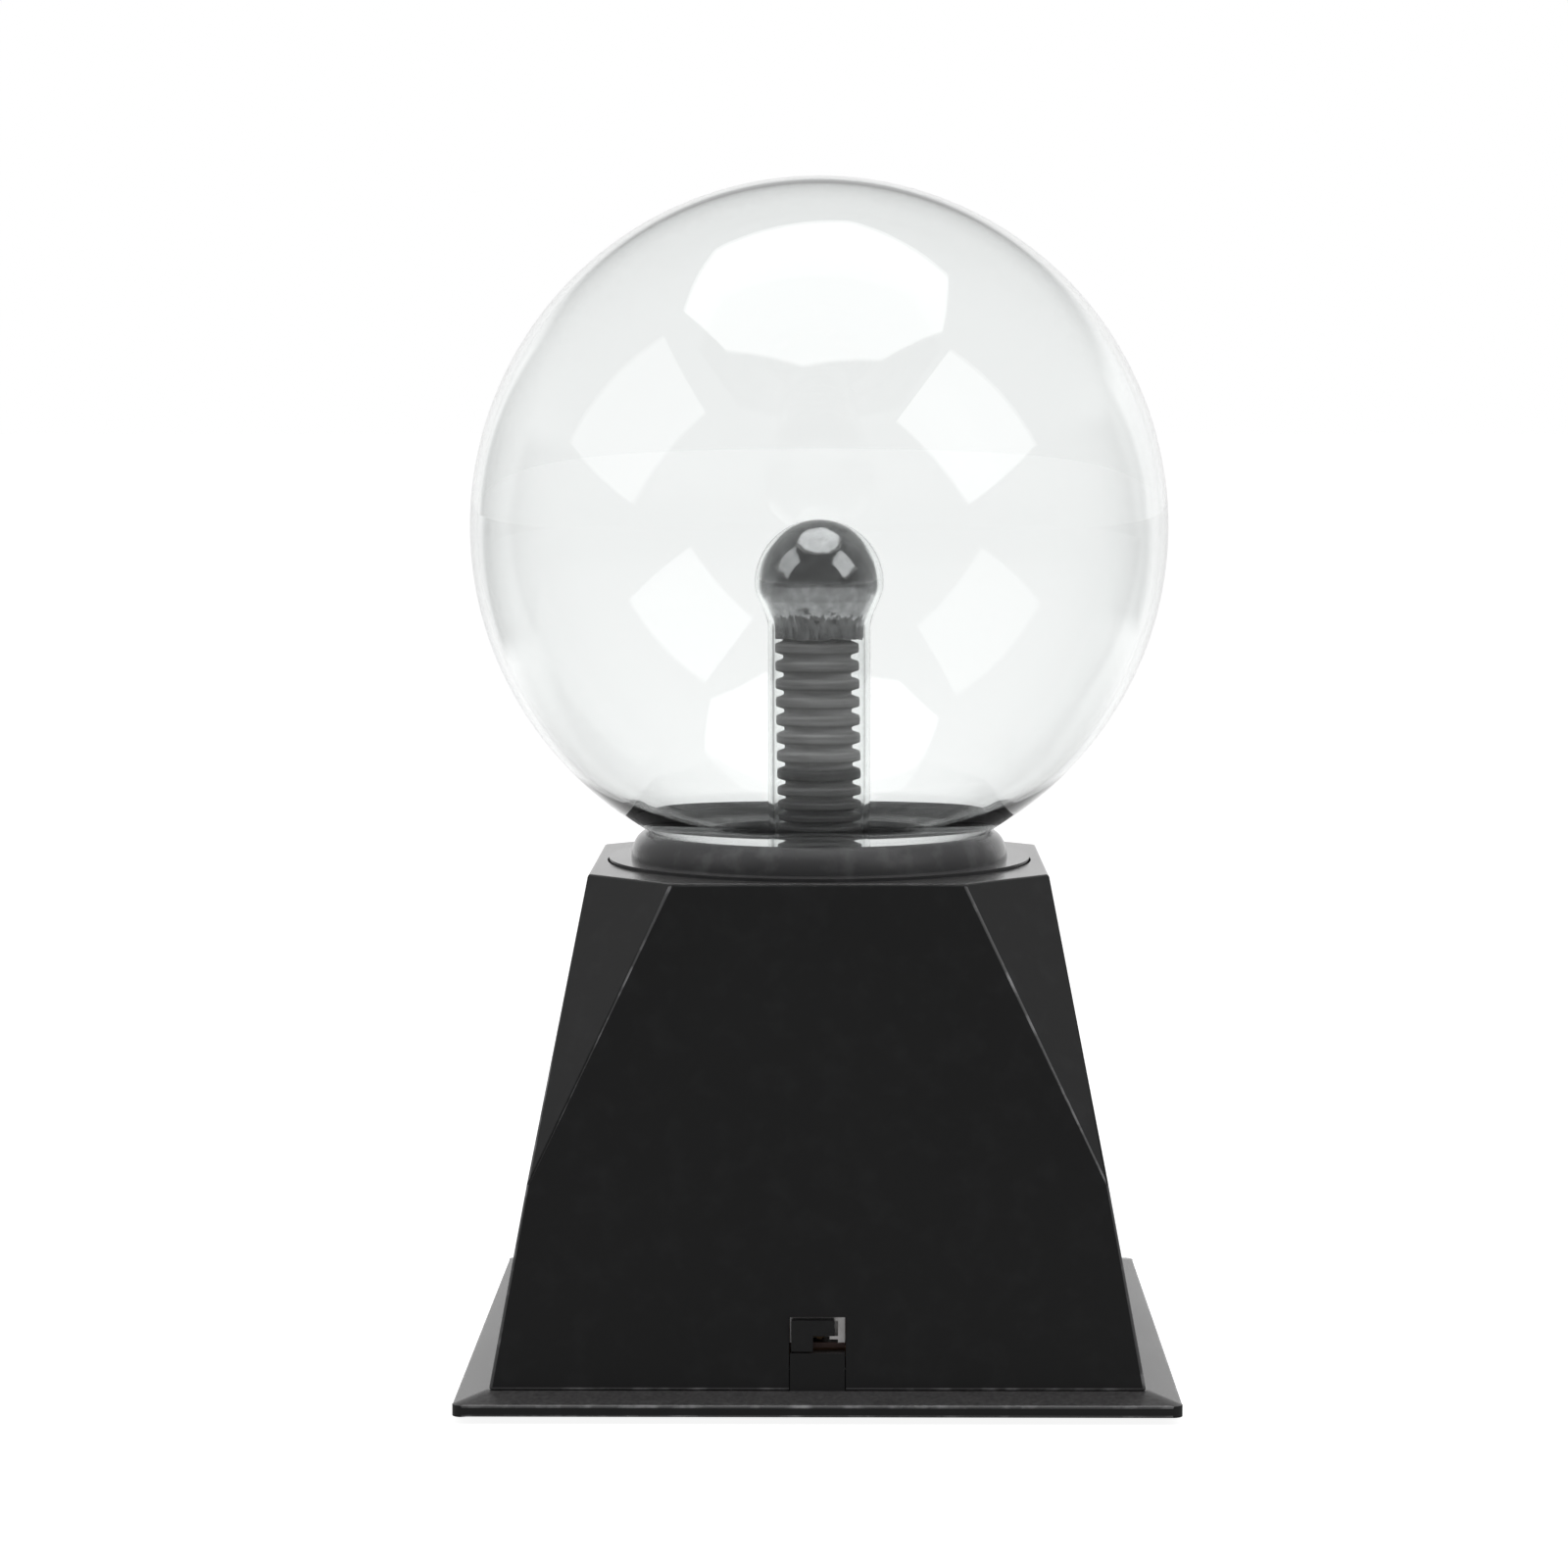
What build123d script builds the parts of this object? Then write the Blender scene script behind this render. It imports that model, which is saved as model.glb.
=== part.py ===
from build123d import *
import os
from math import atan, cos, sqrt, tan

os.makedirs("parts", exist_ok=True)

# Plasma ball: a gas-filled glass globe with a central electrode, on a faceted plastic base that
# holds the high-voltage board. Millimetres. X is to the right, -Y is the front, where the switch
# is, and Z is up. The origin is the centre of the footprint, on the surface that the feet stand on.

# ---- Driving dimensions -------------------------------------------------------------------------

# Plinth and feet
foot_height = 1.2  # the plinth stands this far above the surface
foot_radius = 5.0
foot_pocket = 0.5  # how deep each foot is let into the plinth
foot_edge = 0.4
foot_land = 2.0  # width of the plain ring left round each foot's pocket
plinth_margin = 5.3  # the plinth stands out this far beyond the case
plinth_edge = 1.8  # height of the plinth's upright edge
plinth_bevel = 1.1  # height of its sloping border
plinth_corner = 1.6
plinth_ledge = 0.4  # flat strip left between the border and the case
plinth_recess = 0.6  # depth of the underside's recessed panel
recess_border = 8.0
rim_height = 3.0  # the rim that locates the case
rim_wall = 1.6
pilot_spare = 1.0  # how much deeper the case's pilot holes are than its screws

# Case
case_foot = 102.4
case_head = 74.0
case_height = 77.8
case_wall = 2.2
case_roof = 3.6
corner_cut = 13.7  # how much of the top's sides each corner facet takes
facet_start = 30.1  # height of each facet's lower point above the case's foot
case_round = 0.6  # radius round the case's top
pillar_inset = 8.7  # from the case's side, at its foot, to a pillar's axis
pillar_radius = 3.6
pillar_height = 22.0

# Vents in the plinth
vent_length = 22.0
vent_width = 2.0
vent_pitch = 5.0
vent_count = 5

# Globe
globe_radius = 57.5
globe_wall = 1.2
globe_sink = 2.5  # how far the sphere's lowest point would lie below the case's top
neck_radius = 17.0
neck_reach = 9.9  # how far the neck goes below the case's top
neck_blend = 2.5

# Electrode stem
stem_radius = 8.5
stem_wall = 1.0
bulb_radius = 10.7
bulb_rise = 1.4  # the bulb's crown above the globe's centre
bulb_shoulder = 7.2  # height over which the bulb narrows to the stem
flare_height = 8.0
tip_radius = 2.0
tip_length = 5.0

# Inside the stem
coating_thickness = 0.25
coating_reach = 9.0  # the coating goes this far below the bulb's middle
wool_reach = 6.0
sleeve_gap = 0.55  # between the sleeve's ribs and the stem
sleeve_wall = 0.8
sleeve_tail = 4.1  # the sleeve goes about this far below the neck
rib_depth = 1.35
rib_pitch = 2.98
grommet_height = 4.0
lead_radius = 1.3

# Collar and seat
seat_border = 2.15  # from the case's edge to the seat's disc
seat_thickness = 2.0
seat_proud = 0.5  # the seat's disc stands this far above the case's top
spigot_wall = 2.65
spigot_height = 6.0
gasket_thickness = 1.3
gasket_height = 5.0
bead_border = 3.65  # from the disc's edge to the bead
bead_width = 6.0
boss_radius = 2.8
boss_gap = 2.2  # between the spigot and the bosses
boss_count = 3
clamp_thickness = 2.5
clamp_border = 5.0  # from the screws' circle out to the ring's edge

# Board
board_side_gap = 6.9  # from the board's sides to the pillars
board_front_gap = 0.8  # from the board's front to the case's wall
board_end_gap = 1.0  # from the board's back to the case's wall
board_thickness = 1.6
board_rise = 4.6  # the board's underside above the plinth's inner floor
board_hole_side = 5.0  # from the board's sides to its screws
board_hole_end = 9.4  # from the board's back to its screws
standoff_radius = 3.0

# Screws
case_screw_radius = 1.3
case_screw_length = 12.0
small_screw_radius = 1.0
screw_spare = 1.0  # how far the transistor's screw stands through the heatsink
board_screw_length = 5.0
clamp_screw_length = 5.4

# Slide switch
switch_width = 8.6
switch_depth = 4.4
switch_base_height = 0.8
switch_case_height = 4.0
switch_sheet = 0.4
switch_fit = 0.13  # each side of the switch in the window
switch_head = 0.2  # from the switch up to the window's top
tongue_drop = 0.5  # the tongue ends this far below the board's top
switch_recess = 1.0  # from the case's outer face back to the switch, at the window's top
slot_width = 6.4
slot_height = 2.4
slot_border = 1.0  # the slot's foot above the switch's base
slot_tab_width = 1.3  # a tab at the slot's lower right, above the case's open foot
slot_tab_height = 0.5
switch_pitch = 2.5
pin_radius = 0.45
pin_reach = 0.8  # the pins come out this far below the board
knob_width = 6.8
knob_thickness = 1.7
knob_travel = 1.4
knob_low = 0.25  # gap from the tongue up to the knob
knob_high = 0.35  # gap from the knob up to the window's top
knob_notch_width = 3.4
knob_notch_height = 2.5
stem_width = 3.0
stem_height = 1.6
knob_round = 0.25
slider_drop = 0.2  # the slider's foot below the slot
contact_width = 3.6
contact_plate = 0.3
contact_foot_width = 0.8
contact_foot_place = 1.0

# Inlet jack
jack_width = 9.0
jack_depth = 14.0
jack_height = 11.0
jack_axis = 6.4  # above the board
jack_place = 12.0
jack_nose_radius = 3.95
jack_bore = 3.15
jack_bore_depth = 10.0
jack_pin_radius = 1.0
jack_pin_round = 0.4
jack_floor = 1.2  # the pin's tip below the nose's end
jack_overhang = 0.4  # the jack's body past the board's back edge
jack_recess = 0.3  # its nose's end below the case's outer face
jack_pin_inset = 1.5
jack_pin_offset = 3.0

# Transformer
core_width = 33.0
core_depth = 10.0
core_height = 27.0
core_back = 4.8
core_leg = 9.6
core_place_x = -8.0
core_place_y = -4.0
bobbin_wall = 0.9
bobbin_lift = 2.0
winding_build = 4.6
winding_round = 2.0
bobbin_flange = 1.2
bobbin_lip = 1.0  # the flanges stand out this far past the winding
lead_inset = 1.5  # from the bobbin's edge to the high-voltage lead

# Other parts on the board
heatsink_width = 26.0
heatsink_height = 24.0
heatsink_plate = 2.4
fin_length = 8.0
fin_thickness = 1.2
fin_count = 6
heatsink_x = 14.0
heatsink_y = 17.0
transistor_width = 10.0
transistor_low = 4.0  # the transistor's body above the board
transistor_height = 15.6
transistor_body = 9.2
tab_thickness = 1.3
body_thickness = 4.4
leg_radius = 0.4
leg_pitch = 2.54
main_cap_radius = 5.0
main_cap_height = 16.0
main_cap_place = (22.0, -14.0)
small_cap_radius = 3.15
small_cap_height = 11.0
small_cap_places = [(16.0, -30.0), (25.0, -30.0)]
film_cap_size = (10.0, 5.0, 9.0)
film_cap_place = (-14.0, 28.0)
film_cap_round = 0.6
can_round = 0.5
groove_place = 2.0  # the groove's height on a can
groove_centre = 0.25  # the groove's centre line outside the can
groove_radius = 0.6
resistor_radius = 1.25
resistor_length = 6.5
resistor_places = [(-16.0, -30.0), (-16.0, -26.0), (-16.0, -22.0)]
wire_radius = 0.3
wire_lift = 0.4  # the resistors lie this far above the board
wire_reach = 1.5  # from a resistor's end to its bent leg
wire_bend = 0.8
resistor_round = 0.5
lead_bend = 7.0  # radius of the high-voltage lead's bends
lead_offset_rise = 14.0  # height over which the lead crosses to the stem's axis

# Clearances
seat_fit = 0.3  # round the disc in its pocket
glass_fit = 0.15  # between the globe and what it sits in
rim_fit = 0.2
slot_fit = 0.15  # each side of the tongue in the window's slot
loose_fit = 0.3
close_fit = 0.05
moving_fit = 0.2

# ---- Levels that follow from them ---------------------------------------------------------------

plinth_side = case_foot + 2 * plinth_margin
plate_top = foot_height + plinth_edge + plinth_bevel
case_top = plate_top + case_height
case_lean = atan((case_foot - case_head) / 2 / case_height)
roof_under = case_top - case_roof
pillar_place = case_foot / 2 - pillar_inset
globe_z = case_top + globe_radius - globe_sink
neck_end = case_top - neck_reach
bulb_z = globe_z + bulb_rise - bulb_radius
shoulder_z = bulb_z - bulb_shoulder
flare_top = neck_end + flare_height
seat_top = case_top + seat_proud
seat_under = seat_top - seat_thickness
seat_radius = case_head / 2 - seat_border
spigot_bore = neck_radius + gasket_thickness + close_fit
spigot_radius = spigot_bore + spigot_wall
boss_place = spigot_radius + boss_gap + boss_radius
clamp_outer = boss_place + clamp_border
bead_radius = seat_radius - bead_border
bead_middle = bead_radius - bead_width / 2
bead_height = globe_z - sqrt(globe_radius**2 - bead_middle**2) - seat_top
coating_end = bulb_z - coating_reach
sleeve_top = coating_end - close_fit
sleeve_crest = stem_radius - stem_wall - sleeve_gap
sleeve_root = sleeve_crest - rib_depth
rib_count = round((sleeve_top - neck_end + sleeve_tail) / rib_pitch)
sleeve_end = sleeve_top - rib_pitch * rib_count
wool_end = bulb_z - wool_reach
board_under = plate_top + board_rise
board_top = board_under + board_thickness
switch_low = board_top + switch_base_height
switch_high = switch_low + switch_case_height
window_z = switch_high + switch_head
window_width = switch_width + 2 * switch_fit
tongue_z = board_top - tongue_drop

UP = (Align.CENTER, Align.CENTER, Align.MIN)
DOWN = (Align.CENTER, Align.CENTER, Align.MAX)
corners = [(sx, sy) for sx in (-1, 1) for sy in (-1, 1)]


# ---- Shared shapes ------------------------------------------------------------------------------


def turned(edges):
    """A solid of revolution about Z, from a closed outline drawn as radius and height."""
    return revolve(Plane.XZ * make_face(edges), Axis.Z)


def tube(outer, inner, low, high):
    """A plain ring about Z, between two heights."""
    height = high - low
    return Pos(0, 0, low) * (Cylinder(outer, height, align=UP) - Cylinder(inner, height, align=UP))


def block(x, y, z):
    """A box between pairs of limits."""
    size = Box(x[1] - x[0], y[1] - y[0], z[1] - z[0])
    return Pos((x[0] + x[1]) / 2, (y[0] + y[1]) / 2, (z[0] + z[1]) / 2) * size


def upright_screw(radius, length):
    """A pan-head screw pointing up, with its head's underside at the origin."""
    head = Cylinder(2 * radius, 1.2 * radius, align=DOWN)
    head = fillet(head.edges().group_by(Axis.Z)[0], 0.4 * radius)
    cross = Box(2.2 * radius, 0.5 * radius, 0.6 * radius, align=UP)
    cross = Pos(0, 0, -1.2 * radius) * (cross + Rot(0, 0, 90) * cross)
    tip = Pos(0, 0, length - radius) * Cone(radius, 0.3 * radius, radius, align=UP)
    return head + Cylinder(radius, length - radius, align=UP) + tip - cross


def case_half(z):
    """Half of the case's width at a height."""
    return case_foot / 2 - (z - plate_top) * tan(case_lean)


def corner_cutters(inset):
    """Blocks that shave the upper corners to triangular facets, a given depth inside them."""
    head = case_head / 2
    point_z = plate_top + facet_start
    slope = (2 * (case_half(point_z) - head) + corner_cut) / (case_top - point_z)
    middle = head - corner_cut / 2
    cutters = []
    for sx, sy in corners:
        facet = Plane(origin=(sx * middle, sy * middle, case_top), z_dir=(sx, sy, slope))
        cutters.append(facet.offset(-inset) * Box(case_foot, case_foot, case_foot / 2, align=UP))
    return cutters


def leaning_block(inset, low, high):
    """The case's solid shape between two heights, a given depth inside its outer faces."""
    shift = inset / cos(case_lean)
    ends = [(z, 2 * (case_half(z) - shift)) for z in (low, high)]
    sections = [(Pos(0, 0, z) * Rectangle(side, side)).face() for z, side in ends]
    return loft(sections, ruled=True) - corner_cutters(inset)


def round_places(count, radius, start=90):
    """Places evenly spaced on a circle about Z."""
    return [Rot(0, 0, start + 360 * i / count) * Pos(radius, 0, 0) for i in range(count)]


wall_across = case_wall / cos(case_lean)
board_width = 2 * (pillar_place - pillar_radius - board_side_gap)
board_front = -(case_half(board_under) - wall_across) + board_front_gap
board_back = case_half(board_top + jack_height) - wall_across - board_end_gap
board_hole_x = board_width / 2 - board_hole_side
board_hole_y = board_back - board_hole_end

# ---- Base ---------------------------------------------------------------------------------------


def rubber_feet():
    """Four round stick-on feet, let into the plinth over the case's screws."""
    foot = Cylinder(foot_radius, foot_height + foot_pocket, align=UP)
    foot = chamfer(foot.edges().group_by(Axis.Z)[0], foot_edge)
    return [Pos(sx * pillar_place, sy * pillar_place, 0) * foot for sx, sy in corners]


screw_head_z = foot_height + foot_pocket + 1.2 * case_screw_radius + close_fit


def base_plate():
    """The plinth: bevelled border, locating rim, tongue, standoffs, vents and screw holes."""
    outline = RectangleRounded(plinth_side, plinth_side, plinth_corner)
    skirt = extrude(outline, plinth_edge)
    border_side = case_foot + 2 * plinth_ledge
    inner_outline = RectangleRounded(border_side, border_side, plinth_corner)
    border_foot = (Pos(0, 0, plinth_edge) * outline).face()
    border_head = (Pos(0, 0, plinth_edge + plinth_bevel) * inner_outline).face()
    border = loft([border_foot, border_head], ruled=True)
    plate = Pos(0, 0, foot_height) * (skirt + border)
    panel_side = plinth_side - 2 * recess_border
    panel = extrude(RectangleRounded(panel_side, panel_side, plinth_corner), plinth_recess)
    land = Cylinder(foot_radius + foot_land, plinth_recess, align=UP)
    panel -= [Pos(sx * pillar_place, sy * pillar_place, 0) * land for sx, sy in corners]
    plate -= Pos(0, 0, foot_height) * panel
    rim_top = plate_top + rim_height
    rim_inset = case_wall + rim_fit
    plate += leaning_block(rim_inset, plate_top, rim_top)
    plate -= leaning_block(rim_inset + rim_wall, plate_top, rim_top)
    tongue_half = window_width / 2 - slot_fit
    wall = leaning_block(0, plate_top, tongue_z) - leaning_block(case_wall + rim_fit, plate_top, tongue_z)
    plate += wall & block((-tongue_half, tongue_half), (-case_foot, 0), (plate_top, tongue_z))
    for sx, sy in corners:
        standoff = Cylinder(standoff_radius, board_rise, align=UP)
        plate += Pos(sx * board_hole_x, sy * board_hole_y, plate_top) * standoff
    for sx, sy in corners:
        pilot = Cylinder(small_screw_radius + close_fit, board_rise, align=UP)
        plate -= Pos(sx * board_hole_x, sy * board_hole_y, plate_top) * pilot
        place = Pos(sx * pillar_place, sy * pillar_place, foot_height)
        plate -= place * Cylinder(foot_radius + close_fit, foot_pocket, align=UP)
        plate -= place * Cylinder(case_screw_radius + loose_fit, 2 * (plate_top - foot_height), align=UP)
        head_room = screw_head_z - foot_height
        plate -= place * Cylinder(2 * case_screw_radius + loose_fit, head_room, align=UP)
    for i in range(vent_count):
        x = (i - (vent_count - 1) / 2) * vent_pitch
        slot = extrude(SlotOverall(vent_length, vent_width), 2 * (plate_top - foot_height))
        plate -= Pos(x, 0, 0) * Rot(0, 0, 90) * slot
    return plate


def case_screws():
    """Four screws that pull the case down on the plinth, under the feet."""
    screw = upright_screw(case_screw_radius, case_screw_length)
    return [Pos(sx * pillar_place, sy * pillar_place, screw_head_z) * screw for sx, sy in corners]


def case_shell():
    """The faceted housing, with its roof pocket, front slot, inlet hole and screw pillars."""
    shape = leaning_block(0, plate_top, case_top)
    shape = fillet(shape.edges().group_by(Axis.Z)[-1], case_round)
    shape -= leaning_block(case_wall, plate_top, roof_under)
    pillar = Cylinder(pillar_radius, pillar_height, align=UP)
    shape += [Pos(sx * pillar_place, sy * pillar_place, plate_top) * pillar for sx, sy in corners]
    pilot = Cylinder(case_screw_radius + close_fit, case_screw_length + pilot_spare, align=UP)
    shape -= [Pos(sx * pillar_place, sy * pillar_place, plate_top) * pilot for sx, sy in corners]
    shape -= Pos(0, 0, seat_under) * Cylinder(seat_radius + seat_fit, seat_thickness, align=UP)
    shape -= Pos(0, 0, roof_under) * Cylinder(spigot_radius + loose_fit, case_roof, align=UP)
    boss_hole = Cylinder(boss_radius + loose_fit, case_roof, align=UP)
    shape -= [Pos(0, 0, roof_under) * place * boss_hole for place in round_places(boss_count, boss_place)]
    window_half = window_width / 2
    shape -= block((-window_half, window_half), (-case_foot, -case_foot / 4), (plate_top, window_z))
    nose_hole = Cylinder(jack_nose_radius + loose_fit, case_foot / 2, align=UP)
    shape -= Pos(jack_place, 0, board_top + jack_axis) * Rot(-90, 0, 0) * nose_hole
    return shape


# ---- Collar -------------------------------------------------------------------------------------


def globe_room():
    """The sphere that what holds the globe must stay out of."""
    return Pos(0, 0, globe_z) * Sphere(globe_radius + glass_fit)


def globe_seat():
    """The disc in the case's roof, with a spigot for the neck and bosses for the clamp's screws."""
    seat = tube(seat_radius, spigot_bore, seat_under, seat_top)
    seat += tube(spigot_radius, spigot_bore, seat_under - spigot_height, seat_under)
    boss_height = seat_under - roof_under
    for place in round_places(boss_count, boss_place):
        seat += Pos(0, 0, roof_under) * place * Cylinder(boss_radius, boss_height, align=UP)
    for place in round_places(boss_count, boss_place):
        pilot = Cylinder(small_screw_radius + close_fit, boss_height + seat_thickness / 2, align=UP)
        seat -= Pos(0, 0, roof_under) * place * pilot
    return seat - globe_room()


def collar_ring():
    """The half-round bead on the seat, hollowed where the globe sits in it."""
    upper = Rectangle(bead_width, bead_height, align=(Align.CENTER, Align.MIN))
    section = Ellipse(bead_width / 2, bead_height) & upper
    bead = revolve(Plane.XZ * Pos(bead_middle, seat_top) * section, Axis.Z)
    return bead - globe_room()


def neck_gasket():
    """A soft ring between the globe's neck and the seat's spigot."""
    inner = neck_radius + close_fit
    low = seat_under - spigot_height
    return tube(inner + gasket_thickness - close_fit, inner, low, low + gasket_height)


def clamp_ring():
    """The ring under the roof that the seat is screwed to."""
    ring = tube(clamp_outer, spigot_radius + loose_fit, roof_under - clamp_thickness, roof_under)
    hole = Cylinder(small_screw_radius + loose_fit, clamp_thickness, align=UP)
    low = roof_under - clamp_thickness
    return ring - [Pos(0, 0, low) * place * hole for place in round_places(boss_count, boss_place)]


def clamp_screws():
    """The screws from the clamp ring up into the seat's bosses."""
    screw = upright_screw(small_screw_radius, clamp_screw_length)
    low = roof_under - clamp_thickness
    return [Pos(0, 0, low) * place * screw for place in round_places(boss_count, boss_place)]


# ---- Glass and electrode ------------------------------------------------------------------------


def globe_glass():
    """The blown sphere and its neck."""
    inner_radius = globe_radius - globe_wall
    neck_bore = neck_radius - globe_wall
    join = globe_z - sqrt(globe_radius**2 - neck_radius**2)
    inner_join = globe_z - sqrt(inner_radius**2 - neck_bore**2)
    crown = globe_z + globe_radius
    outline = [
        ThreePointArc((0, crown), (globe_radius, globe_z), (neck_radius, join)),
        Line((neck_radius, join), (neck_radius, neck_end)),
        Line((neck_radius, neck_end), (neck_bore, neck_end)),
        Line((neck_bore, neck_end), (neck_bore, inner_join)),
        ThreePointArc((neck_bore, inner_join), (inner_radius, globe_z), (0, crown - globe_wall)),
        Line((0, crown - globe_wall), (0, crown)),
    ]
    section = make_face(outline)
    outer_corner = section.vertices().sort_by_distance((neck_radius, join))[0]
    section = fillet(outer_corner, neck_blend)
    inner_corner = section.vertices().sort_by_distance((neck_bore, inner_join))[0]
    section = fillet(inner_corner, neck_blend + globe_wall)
    return revolve(Plane.XZ * section, Axis.Z)


def stem_side(depth, low):
    """The stem's side from the crown down to a height, a given depth inside its outer face."""
    bulb = bulb_radius - depth
    stem = stem_radius - depth
    return [
        CenterArc((0, bulb_z), bulb, 0, 90),
        Spline((bulb, bulb_z), (stem, shoulder_z), tangents=[(0, -1), (0, -1)]),
        Line((stem, shoulder_z), (stem, low)),
    ]


def stem_layer(depth, thickness, low):
    """A closed layer in the stem, open only at its lower end."""
    inner = depth + thickness
    crown = bulb_z + bulb_radius
    ends = [
        Line((stem_radius - depth, low), (stem_radius - inner, low)),
        Line((0, crown - depth), (0, crown - inner)),
    ]
    return turned(stem_side(depth, low) + ends + stem_side(inner, low))


def electrode_stem():
    """The inner glass tube: bulbed top, and a flared foot fused to the end of the neck."""
    bore = stem_radius - stem_wall
    glass = stem_layer(0, stem_wall, flare_top)
    neck_bore = neck_radius - globe_wall
    outer_arc = TangentArc((stem_radius, flare_top), (neck_bore, neck_end), tangent=(0, -1))
    centre_r = stem_radius + outer_arc.radius
    inner_radius = outer_arc.radius + stem_wall
    rim_under = neck_end - stem_wall
    inner_end = centre_r - sqrt(inner_radius**2 - (flare_top - rim_under) ** 2)
    outline = [
        outer_arc,
        Line((neck_bore, neck_end), (neck_radius, neck_end)),
        Line((neck_radius, neck_end), (neck_radius, rim_under)),
        Line((neck_radius, rim_under), (inner_end, rim_under)),
        TangentArc((bore, flare_top), (inner_end, rim_under), tangent=(0, -1)),
        Line((bore, flare_top), (stem_radius, flare_top)),
    ]
    glass += turned(outline)
    tip_place = (bore + neck_bore) / 2
    tip = Cylinder(tip_radius, tip_length, align=DOWN)
    tip = fillet(tip.edges().group_by(Axis.Z)[0], tip_radius * 0.8)
    return glass + Pos(0, tip_place, neck_end) * tip


def electrode_coating():
    """The conductive coating on the inside of the bulb."""
    return stem_layer(stem_wall + close_fit / 2, coating_thickness, coating_end)


def electrode_wool():
    """A wad of metal wool that fills the bulb and joins the lead to the coating."""
    depth = stem_wall + coating_thickness + 2 * close_fit
    edges = stem_side(depth, shoulder_z - close_fit)[:2]
    stem = stem_radius - depth
    edges.append(Line((stem, shoulder_z), (0, shoulder_z)))
    edges.append(Line((0, shoulder_z), (0, bulb_z + bulb_radius - depth)))
    below = Cylinder(bulb_radius, wool_end - shoulder_z, align=UP)
    return turned(edges) - Pos(0, 0, shoulder_z) * below


def corrugated_sleeve():
    """The corrugated tube round the lead, from the coating down past the stem's foot."""
    points = [(sleeve_root, sleeve_end)]
    for i in range(rib_count):
        low = sleeve_end + i * rib_pitch
        points.append((sleeve_root, low + 0.14 * rib_pitch))
        points.append((sleeve_crest, low + 0.32 * rib_pitch))
        points.append((sleeve_crest, low + 0.68 * rib_pitch))
        points.append((sleeve_root, low + 0.86 * rib_pitch))
    points.append((sleeve_root, sleeve_top))
    points.append((sleeve_root - sleeve_wall, sleeve_top))
    points.append((sleeve_root - sleeve_wall, sleeve_end))
    return turned(Polyline(*points, close=True))


def stem_grommet():
    """A soft band that centres the sleeve in the stem's foot."""
    outer = stem_radius - stem_wall - close_fit
    return tube(outer, sleeve_crest + close_fit, flare_top, flare_top + grommet_height)


# ---- Board --------------------------------------------------------------------------------------

switch_front = -(case_half(window_z) - switch_recess)
switch_y = switch_front + switch_depth / 2
switch_pins = [(x, switch_y) for x in (-switch_pitch, 0, switch_pitch)]
jack_pins = [
    (jack_place, board_back - jack_depth + jack_pin_inset),
    (jack_place + jack_pin_offset, board_back - jack_depth / 2),
]


def circuit_board():
    """The board, on four standoffs, with holes for its screws and for the tall parts' pins."""
    board = block((-board_width / 2, board_width / 2), (board_front, board_back), (board_under, board_top))
    for sx, sy in corners:
        hole = Cylinder(small_screw_radius + loose_fit, board_thickness, align=UP)
        board -= Pos(sx * board_hole_x, sy * board_hole_y, board_under) * hole
    for x, y in switch_pins + jack_pins:
        board -= Pos(x, y, board_under) * Cylinder(pin_radius + close_fit, board_thickness, align=UP)
    return board


def board_screws():
    """Four screws down through the board into the plinth's standoffs."""
    screw = Rot(180, 0, 0) * upright_screw(small_screw_radius, board_screw_length)
    return [Pos(sx * board_hole_x, sy * board_hole_y, board_top) * screw for sx, sy in corners]


def board_pins(places):
    """Straight pins from the board's top down through it."""
    pin = Cylinder(pin_radius, board_thickness + pin_reach, align=DOWN)
    return [Pos(x, y, board_top) * pin for x, y in places]


core_low = board_top + bobbin_lift
core_middle = core_low + core_height / 2
window_x = (core_leg / 2, core_width / 2 - core_leg / 2)
bobbin_half_x = window_x[1] - close_fit
bobbin_half_y = core_depth / 2 + bobbin_wall + winding_build + bobbin_lip
bobbin_inner = core_height / 2 - core_back - close_fit


def at_core(shape):
    """A shape moved from the origin to the transformer's middle."""
    return Pos(core_place_x, core_place_y, core_middle) * shape


def transformer_core():
    """Two E-shaped ferrite halves that meet at the transformer's middle."""
    half = block((-core_width / 2, core_width / 2), (-core_depth / 2, core_depth / 2), (0, core_height / 2))
    for side in (-1, 1):
        x = sorted((side * window_x[0], side * window_x[1]))
        half -= block(x, (-core_depth, core_depth), (0, core_height / 2 - core_back))
    upper = Pos(0, 0, close_fit / 2) * half
    return [at_core(upper), at_core(Rot(180, 0, 0) * upper)]


def transformer_bobbin():
    """The winding former round the core's middle leg, with feet down to the board."""
    leg = core_leg / 2 + close_fit
    depth = core_depth / 2 + close_fit
    former = block(
        (-leg - bobbin_wall + close_fit, leg + bobbin_wall - close_fit),
        (-depth - bobbin_wall, depth + bobbin_wall),
        (-bobbin_inner, bobbin_inner),
    )
    for low in (-bobbin_inner, bobbin_inner - bobbin_flange):
        flange_z = (low, low + bobbin_flange)
        former += block((-bobbin_half_x, bobbin_half_x), (-bobbin_half_y, bobbin_half_y), flange_z)
    for side in (-1, 1):
        y = sorted((side * (depth + bobbin_wall), side * bobbin_half_y))
        former += block((-bobbin_half_x, bobbin_half_x), y, (board_top - core_middle, -bobbin_inner))
    former -= block((-leg, leg), (-depth, depth), (-core_height, core_height))
    return at_core(former)


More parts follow.
